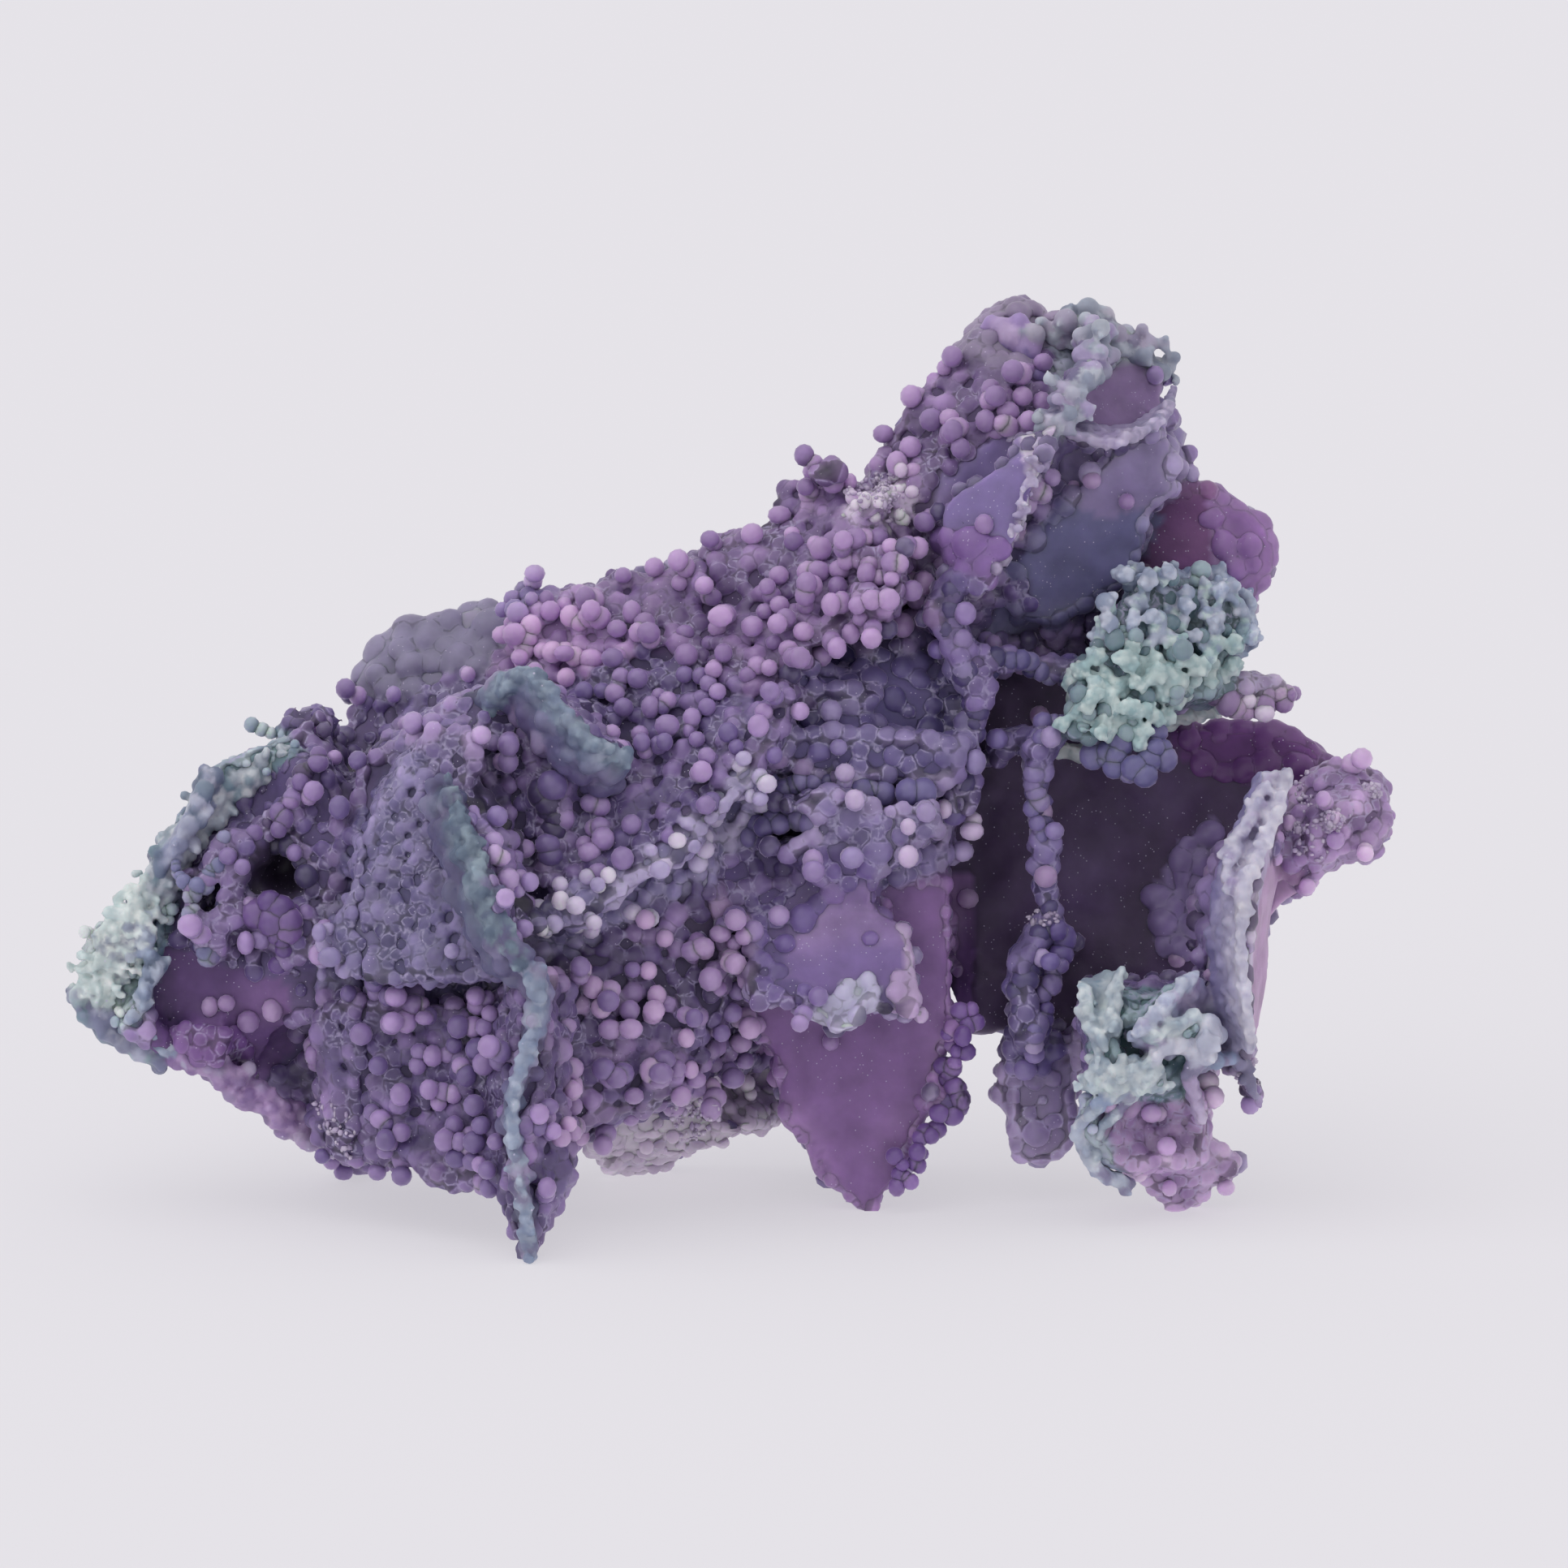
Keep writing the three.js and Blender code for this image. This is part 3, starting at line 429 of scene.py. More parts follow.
         Tint("5C5078", "B4A2CC", "D6C4E2"), Skin.MIXED, out_mm=(-60, -4)),
    Zone("matrix_foot", ((-17, 5), (-17, 19), (6, 20), (6, 8)), ROUGH, STONE, Skin.LIGHT,
         out_mm=(-60, -7)),
)

# What no zone holds: the rest of the face, and the back with its patches of barer stone. Their outline
# isn't used.
ANYWHERE = ((0, 0), (1, 0), (0, 1))
REST_OF_FACE = Zone("rest_of_face", ANYWHERE, GRAPES, Tint("443C5C", "8E7EB0", "C2AAD4"))
BACK_GRAPES = Growth((1.1, 1.7), spacing=1.45, lift=(-0.5, 0.1), raised=0.05, swell_mm=1.0)
BACK = Zone("back", ANYWHERE, BACK_GRAPES, Tint("5A5076", "988CB4", "BEB2D0"), Skin.MIXED)
BACK_STONE = Zone("back_stone", ANYWHERE, ROUGH, Tint("62567A", "9C90AE", "C0B4CA"), Skin.MIXED)
ALL_ZONES = ZONES + (REST_OF_FACE, BACK, BACK_STONE)

# The back begins where the surface turns this far from the viewer and lies no further out than this. Where
# a zone wraps, it begins further in.
BACK_TURN = -0.3
BACK_OUT_MM = 6.0
WRAPPED_BACK_OUT_MM = -12.0
BARE_STONE_LEVEL = 0.42


def zones_at(points: Rows, normals: Rows) -> Rows:
    """Finds which zone each point of a surface belongs to.

    Args:
        points: Rows in metres.
        normals: The surface's outward directions there.

    Returns:
        For each point, an index in ALL_ZONES.
    """
    drawn = FACE.to_face(points)
    zone = np.full(len(points), ALL_ZONES.index(REST_OF_FACE))
    free = np.ones(len(points), bool)
    for i, candidate in enumerate(ZONES):
        taken = free & candidate.holds(drawn)
        zone[taken] = i
        free &= ~taken
    behind = (normals @ TOWARD_VIEWER < BACK_TURN) & (drawn[:, 2] < BACK_OUT_MM)
    behind &= (per_zone(zone, lambda z: z.wraps) < 1) | (drawn[:, 2] < WRAPPED_BACK_OUT_MM)
    stony = Patches.BARE_STONE.at(points) > BARE_STONE_LEVEL
    zone[behind] = ALL_ZONES.index(BACK)
    zone[behind & stony] = ALL_ZONES.index(BACK_STONE)
    return zone


def per_zone(zone: Rows, read: Callable[[Zone], object]) -> Rows:
    """Reads a value, or a row of values, of each point's zone, given as an index in ALL_ZONES."""
    return np.array([read(z) for z in ALL_ZONES], float)[zone]


def zone_colours(zone: Rows) -> tuple[Rows, Rows, Rows]:
    """Gives the linear shade, light and proud colours of each point's zone."""
    return tuple(per_zone(zone, lambda z: z.tint.linear()[i]) for i in range(3))


# A point is in full shade below the first share of open space, and in full light above the second.
OPEN_RANGE = (0.2, 0.9)


def skin_tone(points: Rows, open_share: Rows) -> Rows:
    """Tells how light a smooth skin is, from 0 in its shade to 1, where it is as open as given."""
    return smooth_step(*OPEN_RANGE, open_share) + 0.14 * Patches.SKIN_TONE.at(points)


@dataclass(frozen=True)
class Finish:
    """A surface of the specimen. It reads its colour from the piece's tint attribute.

    Lengths are in mm. Glow is how far light wanders inside, for red, green and blue.
    """

    name: str
    roughness: float
    ior: float = 1.54
    gloss: float = 0.5
    coat: float = 0.0
    subsurface: float = 0.8
    glow_mm: tuple[float, float, float] = (1.2, 0.8, 1.3)
    sheen: float = 0.5
    sheen_hex: str = "D9CDEB"
    grain_mm: float = 0.45
    grain_height_mm: float = 0.03
    mottle_mm: float = 3.0
    mottle: float = 0.15
    specks: float = 0.0
    speck_mm: float = 0.9
    speck_hex: str = "CFC8DE"
    drift_mm: float = 4.0
    rings: float = 0.0
    ring_place_mm: float = 0.26
    ring_width_mm: float = 0.13
    ring_hex: str = "B6AECE"
    crumb_mm: float = 0.6
    seam_mm: float = 0.2
    seam_shade: float = 0.45

    def build(self) -> Material:
        """Makes the material.

        Returns:
            The new material.
        """
        material = bpy.data.materials.new(self.name)
        material.use_nodes = True
        tree = material.node_tree
        tree.nodes.clear()
        shader = add_node(tree, "ShaderNodeBsdfPrincipled", {
            "Roughness": self.roughness, "IOR": self.ior, "Specular IOR Level": self.gloss,
            "Coat Weight": self.coat, "Coat Roughness": 0.22, "Subsurface Weight": self.subsurface,
            "Subsurface Radius": tuple(g / max(self.glow_mm) for g in self.glow_mm),
            "Subsurface Scale": max(self.glow_mm) * MM, "Sheen Weight": self.sheen,
            "Sheen Roughness": 0.22, "Sheen Tint": (*linear(self.sheen_hex), 1.0),
        })
        place = add_node(tree, "ShaderNodeTexCoord").outputs["Object"]
        tint = add_node(tree, "ShaderNodeAttribute", settings={"attribute_name": "tint"})
        mottle = add_node(tree, "ShaderNodeTexNoise", {"Scale": 1 / (self.mottle_mm * MM), "Detail": 3.0},
                          {"Vector": place})
        lightness = {"From Min": 0.3, "From Max": 0.7, "To Min": 1 - self.mottle, "To Max": 1 + self.mottle}
        shade = add_node(tree, "ShaderNodeMapRange", lightness, {"Value": mottle})
        tinted = add_node(tree, "ShaderNodeVectorMath", None, {0: tint, 1: shade},
                          {"operation": "MULTIPLY"})
        colour = tinted.outputs["Vector"]
        if self.specks:
            colour = self.add_specks(tree, place, colour)
        if self.rings:
            colour = self.add_rings(tree, place, colour)
        tree.links.new(colour, shader.inputs["Base Color"])
        grain = add_node(tree, "ShaderNodeTexNoise", {"Scale": 1 / (self.grain_mm * MM), "Detail": 2.0},
                         {"Vector": place})
        bump = add_node(tree, "ShaderNodeBump", {"Strength": 0.6, "Distance": self.grain_height_mm * MM},
                        {"Height": grain})
        tree.links.new(bump.outputs["Normal"], shader.inputs["Normal"])
        add_node(tree, "ShaderNodeOutputMaterial", links={"Surface": shader})
        return material

    def add_specks(self, tree: NodeTree, place: NodeSocket, colour: NodeSocket) -> NodeSocket:
        """Sprinkles tiny pale quartz faces over the colour, partly the quartz's white and partly painted
        glints. Real ones are finer than the render shows.

        Args:
            tree: The material's nodes.
            place: Where a point is on the piece.
            colour: The colour under the specks.

        Returns:
            The colour with the specks.
        """
        cells = add_node(tree, "ShaderNodeTexVoronoi",
                         {"Scale": 1 / (self.speck_mm * MM), "Randomness": 1.0}, {"Vector": place})
        near = add_node(tree, "ShaderNodeMapRange",
                        {"From Min": 0.07, "From Max": 0.16, "To Min": 1.0, "To Max": 0.0},
                        {"Value": cells.outputs["Distance"]})
        drift = add_node(tree, "ShaderNodeTexNoise", {"Scale": 1 / (self.drift_mm * MM), "Detail": 1.0},
                         {"Vector": place})
        # Where the specks of dust and painted glints are dense.
        dust_and_painted_light = add_node(tree, "ShaderNodeMapRange",
                         {"From Min": 0.4, "From Max": 0.62, "To Min": 0.1, "To Max": self.specks},
                         {"Value": drift})
        rare = add_node(tree, "ShaderNodeSeparateColor", links={"Color": cells.outputs["Color"]})
        kept = add_node(tree, "ShaderNodeMath", None, {0: rare.outputs["Red"], 1: dust_and_painted_light},
                        {"operation": "LESS_THAN"})
        share = add_node(tree, "ShaderNodeMath", None, {0: near, 1: kept}, {"operation": "MULTIPLY"})
        mix = add_node(tree, "ShaderNodeMix", {"B": (*linear(self.speck_hex), 1.0)},
                       {"Factor": share, "A": colour}, {"data_type": "RGBA"})
        return mix.outputs["Result"]

    def add_rings(self, tree: NodeTree, place: NodeSocket, colour: NodeSocket) -> NodeSocket:
        """Paints shade into the seams between grapes and draws thin pale rings round sunken ones, which are
        partly dust and partly a painted highlight.

        It reads the rim attribute and each point's share of dust and painted light.

        Args:
            tree: The material's nodes.
            place: Where a point is on the piece.
            colour: The colour under the rings.

        Returns:
            The colour with the rings.
        """
        marks = [add_node(tree, "ShaderNodeAttribute", settings={"attribute_name": name})
                 for name in ("rim", "dust_and_painted_light")]
        rim, dust_and_painted_light = (mark.outputs["Fac"] for mark in marks)
        off = add_node(tree, "ShaderNodeMath", {1: self.ring_place_mm}, {0: rim}, {"operation": "SUBTRACT"})
        away = add_node(tree, "ShaderNodeMath", None, {0: off}, {"operation": "ABSOLUTE"})
        fading = {"From Min": 0.04, "From Max": self.ring_width_mm, "To Min": self.rings, "To Max": 0.0}
        line = add_node(tree, "ShaderNodeMapRange", fading, {"Value": away})
        crumbs = add_node(tree, "ShaderNodeTexNoise", {"Scale": 1 / (self.crumb_mm * MM), "Detail": 2.0},
                          {"Vector": place})
        broken = add_node(tree, "ShaderNodeMapRange",
                          {"From Min": 0.4, "From Max": 0.55, "To Min": 0.1, "To Max": 1.0},
                          {"Value": crumbs})
        drawn = add_node(tree, "ShaderNodeMath", None, {0: line, 1: broken}, {"operation": "MULTIPLY"})
        share = add_node(tree, "ShaderNodeMath", None, {0: drawn, 1: dust_and_painted_light}, {"operation": "MULTIPLY"})
        # Painted shade in the seams between grapes, strongest where the share of dust and painted light is
        # high.
        darkening = {"From Min": 0.04, "From Max": self.seam_mm, "To Min": self.seam_shade, "To Max": 1.0}
        seam = add_node(tree, "ShaderNodeMapRange", darkening, {"Value": rim})
        creased = add_node(tree, "ShaderNodeVectorMath", None, {0: colour, 1: seam},
                           {"operation": "MULTIPLY"})
        clean = add_node(tree, "ShaderNodeMapRange", {"To Min": 0.65, "To Max": 1.0}, {"Value": dust_and_painted_light})
        seamed = add_node(tree, "ShaderNodeMix", None, {"Factor": clean, "A": colour, "B": creased},
                          {"data_type": "RGBA"})
        mix = add_node(tree, "ShaderNodeMix", {"B": (*linear(self.ring_hex), 1.0)},
                       {"Factor": share, "A": seamed.outputs["Result"]}, {"data_type": "RGBA"})
        return mix.outputs["Result"]


def add_node(tree: NodeTree, kind: str, values: dict | None = None, links: dict | None = None,
             settings: dict | None = None) -> Node:
    """Adds a node with its settings, values and links.

    Args:
        tree: The node tree.
        kind: The node's type name.
        values: Constants by the input's name or place.
        links: For inputs by name or place, an output, or a node whose first output is meant.
        settings: The node's own properties.

    Returns:
        The new node.
    """
    node = tree.nodes.new(kind)
    for name, value in (settings or {}).items():
        setattr(node, name, value)
    for name, value in (values or {}).items():
        node.inputs[name].default_value = value
    for name, source in (links or {}).items():
        tree.links.new(source.outputs[0] if isinstance(source, Node) else source, node.inputs[name])
    return node


# Chalcedony under its grapes: dense, waxy and translucent, with stray quartz faces that catch light,
# drawn as pale specks that are partly the quartz's white and partly painted glints.
BODY_FINISH = Finish("chalcedony_waxy_body", roughness=0.5, gloss=0.3, glow_mm=(1.8, 1.1, 2.0), sheen=0.1,
                     grain_mm=0.9, grain_height_mm=0.08, specks=0.95, speck_mm=0.5)
# Grape chalcedony: fine radiating fibres under a frosty skin, so each grape glows and has a pale edge.
GRAPE_FINISH = Finish("chalcedony_frosted_grapes", roughness=0.45, gloss=0.4, coat=0.5, sheen=1.0,
                      mottle=0.1)
# Grapes that have run together: the same stone with a waxier skin, and sugar grains in its creases,
# whose pale specks are partly painted glints. Its rings paint shade into the seams and pale rims,
# partly painted highlights, round sunken grapes.
CRUST_FINISH = Finish("chalcedony_melted_crust", roughness=0.45, gloss=0.4, coat=0.25, sheen=0.55,
                      specks=0.4, speck_mm=0.5, rings=0.75)
# Celadonite-tinted chalcedony: blue-green clay minerals under a clear skin make it duller and paler.
CREST_FINISH = Finish("celadonite_chalcedony_crest", roughness=0.5, subsurface=0.6, glow_mm=(0.6, 0.8, 0.8),
                      sheen=0.3, sheen_hex="DCEBEA", grain_mm=0.6, grain_height_mm=0.06, specks=0.15)
# Quartz sugar: tiny clear crystals whose faces scatter white.
SUGAR_FINISH = Finish("quartz_sugar", roughness=0.25, subsurface=0.5, glow_mm=(0.6, 0.6, 0.6), sheen=0.0,
                      grain_mm=0.3, mottle=0.1)


def joined_mesh(name: str, vertices: Rows, triangles: Rows) -> Mesh:
    """Joins many small forms, given as arrays, in one mesh.

    Args:
        name: The mesh's name.
        vertices: Rows in metres.
        triangles: Rows of three vertex numbers.

    Returns:
        The new mesh.
    """
    mesh = bpy.data.meshes.new(name)
    mesh.vertices.add(len(vertices))
    mesh.vertices.foreach_set("co", vertices.astype(np.float32).ravel())
    mesh.loops.add(triangles.size)
    mesh.loops.foreach_set("vertex_index", triangles.astype(np.int32).ravel())
    mesh.polygons.add(len(triangles))
    mesh.polygons.foreach_set("loop_start", np.arange(0, triangles.size, 3, dtype=np.int32))
    mesh.update(calc_edges=True)
    return mesh


def mesh_arrays(mesh: Mesh) -> tuple[Rows, Rows, Rows]:
    """Reads a triangle mesh into arrays.

    Args:
        mesh: The mesh.

    Returns:
        Its vertices, its outward directions and its triangles.
    """
    vertices = np.zeros(len(mesh.vertices) * 3)
    mesh.vertices.foreach_get("co", vertices)
    normals = np.zeros(len(mesh.vertices) * 3)
    mesh.vertex_normals.foreach_get("vector", normals)
    triangles = np.zeros(len(mesh.polygons) * 3, np.int64)
    mesh.polygons.foreach_get("vertices", triangles)
    return vertices.reshape(-1, 3), normals.reshape(-1, 3), triangles.reshape(-1, 3)


def move_vertices(mesh: Mesh, points: Rows) -> Rows:
    """Moves a mesh's vertices, but none of them below the resting plane.

    Args:
        mesh: The mesh.
        points: Their new places, as rows in metres.

    Returns:
        The places that they have now.
    """
    points[:, 2] = np.maximum(points[:, 2], 0.0)
    mesh.vertices.foreach_set("co", points.astype(np.float32).ravel())
    mesh.update()
    return points


def merged_solid() -> bmesh.types.BMesh:
    """Copies the solid for editing, with corners that neighbouring faces share.

    Returns:
        The copy.
    """
    work = bmesh.new()
    work.from_mesh(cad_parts[NODE].data)
    bmesh.ops.remove_doubles(work, verts=work.verts, dist=SAME_PLACE)
    return work


def finished(rough: Object) -> Mesh:
    """Applies an object's modifiers and removes the object.

    Args:
        rough: The object.

    Returns:
        The mesh that its modifiers make.
    """
    graph = bpy.context.evaluated_depsgraph_get()
    mesh = bpy.data.meshes.new_from_object(rough.evaluated_get(graph))
    before = rough.data
    bpy.data.objects.remove(rough)
    bpy.data.meshes.remove(before)
    return mesh


def melted(rough: Mesh, voxel_mm: float, smoothing: int, kept: float = 1.0) -> Mesh:
    """Melts closed forms that overlap into one even surface.

    Args:
        rough: The forms.
        voxel_mm: The new faces' size.
        smoothing: How often the surface is smoothed.
        kept: The share of the triangles that stay, the most where the surface bends the most.

    Returns:
        The new mesh, in triangles.
    """
    thing = bpy.data.objects.new("rough", rough)
    bpy.context.scene.collection.objects.link(thing)
    melt = thing.modifiers.new("melt", "REMESH")
    melt.mode = "VOXEL"
    melt.voxel_size = voxel_mm * MM
    ease = thing.modifiers.new("ease", "SMOOTH")
    ease.factor = 0.5
    ease.iterations = smoothing
    even = thing.modifiers.new("triangles", "TRIANGULATE")
    even.quad_method = "SHORTEST_DIAGONAL"
    if kept < 1:
        thin = thing.modifiers.new("thin", "DECIMATE")
        thin.ratio = kept
    return finished(thing)


def dress(name: str, mesh: Mesh, tints: Rows, material: Material,
          more: dict[str, Rows] | None = None) -> Object:
    """Makes a finished piece of a mesh, coloured by its vertices, riding on the specimen.

    Args:
        name: The piece's name.
        mesh: Its mesh, already in place.
        tints: A linear colour for each vertex.
        material: Its finish.
        more: Further values for each vertex, by name.

    Returns:
        The new object.
    """
    mesh.name = name
    mesh.polygons.foreach_set("use_smooth", np.ones(len(mesh.polygons), bool))
    tint = mesh.color_attributes.new("tint", "FLOAT_COLOR", "POINT")
    rgba = np.column_stack([np.clip(tints, 0, 1), np.ones(len(tints))])
    tint.data.foreach_set("color", rgba.astype(np.float32).ravel())
    for label, values in (more or {}).items():
        layer = mesh.attributes.new(label, "FLOAT", "POINT")
        layer.data.foreach_set("value", values.astype(np.float32))
    mesh.materials.clear()
    mesh.materials.append(material)
    mesh.update()
    piece = bpy.data.objects.new(name, mesh)
    bpy.context.scene.collection.objects.link(piece)
    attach(piece, BODY)
    LOG.info("%s: %d faces", name, len(mesh.polygons))
    return piece


# The fan of rays that measures openness: its depth, where the rays start, and how far they look. A far
# wall closes a point in less than a near one does.
FAN_DEPTH = 0.95
RAY_START_MM = 0.25
RAY_REACH_MM = 14.0
WALL_FADE = 1.5


@dataclass
class Surface:
    """A triangle surface with what grows on it: its points, directions, zones and openness."""

    vertices: Rows
    normals: Rows
    triangles: Rows
    zone: Rows = field(init=False)
    tree: BVHTree = field(init=False)

    def __post_init__(self) -> None:
        """Finds the zones and prepares the ray casts."""
        self.zone = zones_at(self.vertices, self.normals)
        self.tree = BVHTree.FromPolygons(self.vertices.tolist(), self.triangles.tolist())

    def openness(self, points: Rows, normals: Rows, rays: int = 12) -> Rows:
        """Measures how open the space in front of each point is.

        Args:
            points: Rows in metres.
            normals: The outward directions.
            rays: How many directions are tried.

        Returns:
            From 0, closed in, to 1, open, for each point.
        """
        steps = np.arange(rays) + 0.5
        height = 1 - steps / rays * FAN_DEPTH
        turn = steps * math.pi * (3 - math.sqrt(5))
        flat = np.sqrt(1 - height**2)
        fan = np.column_stack([flat * np.cos(turn), flat * np.sin(turn), height])
        side, other = aside(normals)
        reach = RAY_REACH_MM * MM
        total = np.zeros(len(points))
        starts = (points + normals * RAY_START_MM * MM).tolist()
        for x, y, z in fan:
            directions = (side * x + other * y + normals * z).tolist()
            hits = [self.tree.ray_cast(start, way, reach)[3] for start, way in zip(starts, directions)]
            total += np.array([1.0 if h is None else (h / reach) ** WALL_FADE for h in hits])
        return total / rays

    def front_out(self, drawn: Rows) -> Rows:
        """Finds how far out the body's front is at places on the face.

        Args:
            drawn: Rows of u and v in mm.

        Returns:
            The front's out in mm for each place, or that of its neighbour where there is no body.
        """
        away = 60.0
        starts = FACE.to_frame(np.column_stack([drawn, np.full(len(drawn), away)]))
        inward = (-TOWARD_VIEWER).tolist()
        hits = [self.tree.ray_cast(p, inward)[3] for p in starts.tolist()]
        known = np.array([h is not None for h in hits])
        places = np.arange(len(hits))
        outs = np.array([away - (h or 0.0) / MM for h in hits])
        return np.interp(places, places[known], outs[known])

    def sample(self, count: int, random: Random) -> tuple[Rows, Rows]:
        """Picks random points on the surface.

        Args:
            count: How many.
            random: The seeded generator.

        Returns:
            The points and their outward directions.
        """
        a, b, c = (self.vertices[self.triangles[:, i]] for i in range(3))
        area = np.linalg.norm(np.cross(b - a, c - a), axis=1)
        pick = random.choice(len(area), count, p=area / area.sum())
        s, t = random.random((2, count))
        over = s + t > 1
        s, t = np.where(over, 1 - s, s)[:, None], np.where(over, 1 - t, t)[:, None]
        corners = list(zip(self.triangles[pick].T, (1 - s - t, s, t)))
        points, normals = (sum(rows[i] * share for i, share in corners)
                           for rows in (self.vertices, self.normals))
        return points, unit(normals)


@dataclass
class GrownBody:
    """The specimen's body: the solid's form, melted into a grown one and swollen into lumps.

    Bulge and ripple are shares of each zone's swelling. The swelling fades out near the resting plane.
    Fuller lists spots of the face, as u, v, radius and how many mm the surface moves out there.
    """

    voxel_mm: float = 0.82
    smoothing: int = 4
    shrink_mm: float = 0.5
    bulge: float = 1.1
    ripple: float = 0.35
    resting_mm: tuple[float, float] = (0.2, 2.0)
    proud: float = 0.7
    fuller: tuple[tuple[float, float, float, float], ...] = (
        (28.5, 98.5, 5, 1.4), (48, 83, 4, 2.2), (56.5, 74.5, 5, 1.9), (52, 80.5, 4, 0.8),
        (45.5, 91.5, 3, 0.9), (53, 62.5, 3, 1.0), (69, 45, 5, 0.9), (60.5, 53.5, 3.5, 1.3), (5, 15, 3, 2.0),
        (9, 10, 3, 1.5), (31.5, 11, 5, 1.2), (25.5, 23.5, 2.5, 1.2), (-15.5, 9.5, 3, 1.4),
        (-52, 16, 4, 1.3), (-57, 21.5, 5, 1.1), (-35, 65, 6, 1.4), (-48.6, 42.4, 2, 1.6),
        (-50, 15, 3.5, 1.0), (15, 84, 3, 1.5), (19, 89.5, 4, 0.8), (0.5, 75.2, 2.6, 1.1),
        (-25, 68.4, 4, 0.6), (64, 51.2, 4, 0.9), (58.8, 39.4, 2.5, 1.0), (26.8, 23, 2.5, 1.0),
        (10, 8.6, 3, 1.0), (-62.5, 24, 3, 1.4), (-8.6, 73, 3, -0.9), (-58, 44, 4, -0.8),
        (-44, 57.5, 3.5, -2.0), (-60, 44, 6, -1.6), (2, 78.5, 4, -0.6))

    def surface(self) -> tuple[Mesh, Surface]:
        """Melts a copy of the solid and swells it into lumps and ripples.

        Returns:
            The mesh and its surface.
        """
        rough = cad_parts[NODE].data.copy()
        work = merged_solid()
        work.to_mesh(rough)
        work.free()
        mesh = melted(rough, self.voxel_mm, self.smoothing)
        vertices, normals, _ = mesh_arrays(mesh)
        swell = per_zone(zones_at(vertices, normals), lambda z: z.growth.swell_mm)
        bulge, ripple = Patches.BULGES.at(vertices), Patches.RIPPLES.at(vertices)
        height = swell * (self.bulge * bulge + self.ripple * ripple) - self.shrink_mm
        drawn = FACE.to_face(vertices)
        for u, v, radius, more in self.fuller:
            height += more * np.exp(-((drawn[:, 0] - u) ** 2 + (drawn[:, 1] - v) ** 2) / radius**2)
        resting = smooth_step(*self.resting_mm, vertices[:, 2] / MM)
        move_vertices(mesh, vertices + normals * (height * resting * MM)[:, None])
        return mesh, Surface(*mesh_arrays(mesh))

    def build(self, mesh: Mesh, surface: Surface, material: Material) -> None:
        """Dresses the grown surface as the piece that stands for the solid.

        Args:
            mesh: The grown mesh.
            surface: Its surface.
            material: The body's finish.
        """
        deep, pale, proud = zone_colours(surface.zone)
        light = per_zone(surface.zone, lambda z: z.skin.value)
        # Painted shade: the skin darkens where it is closed in, and most in zones with a shaded skin.
        open_share = surface.openness(surface.vertices, surface.normals)
        tone = skin_tone(surface.vertices, open_share) * light
        tints = blend(deep, pale, np.clip(tone, 0, 1)[:, None])
        # Patches of the proud colour in open places: painted light.
        patches = np.clip(Patches.BODY_LIGHT.at(surface.vertices), 0, 1) * open_share * light
        tints += (proud - pale) * self.proud * patches[:, None]
        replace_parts(dress("grown_body", mesh, tints, material), NODE)


class BallShape(Enum):
    """The ball that a grape starts from, by how often an icosahedron's faces are divided for it.

    The plain one, for the back, is a coarse globe instead.
    """

    FINE = 2
    GRAIN = 1
    PLAIN = 0

    def arrays(self) -> tuple[Rows, Rows]:
        """Makes the ball.

        Returns:
            Its vertices at radius 1 and its triangles.
        """
        work = bmesh.new()
        if self is BallShape.PLAIN:
            bmesh.ops.create_uvsphere(work, u_segments=7, v_segments=4, radius=1.0)
        else:
            bmesh.ops.create_icosphere(work, subdivisions=self.value, radius=1.0)
        bmesh.ops.triangulate(work, faces=work.faces)
        work.verts.index_update()
        vertices = np.array([v.co for v in work.verts])
        triangles = np.array([[v.index for v in f.verts] for f in work.faces])
        work.free()
        return vertices, triangles


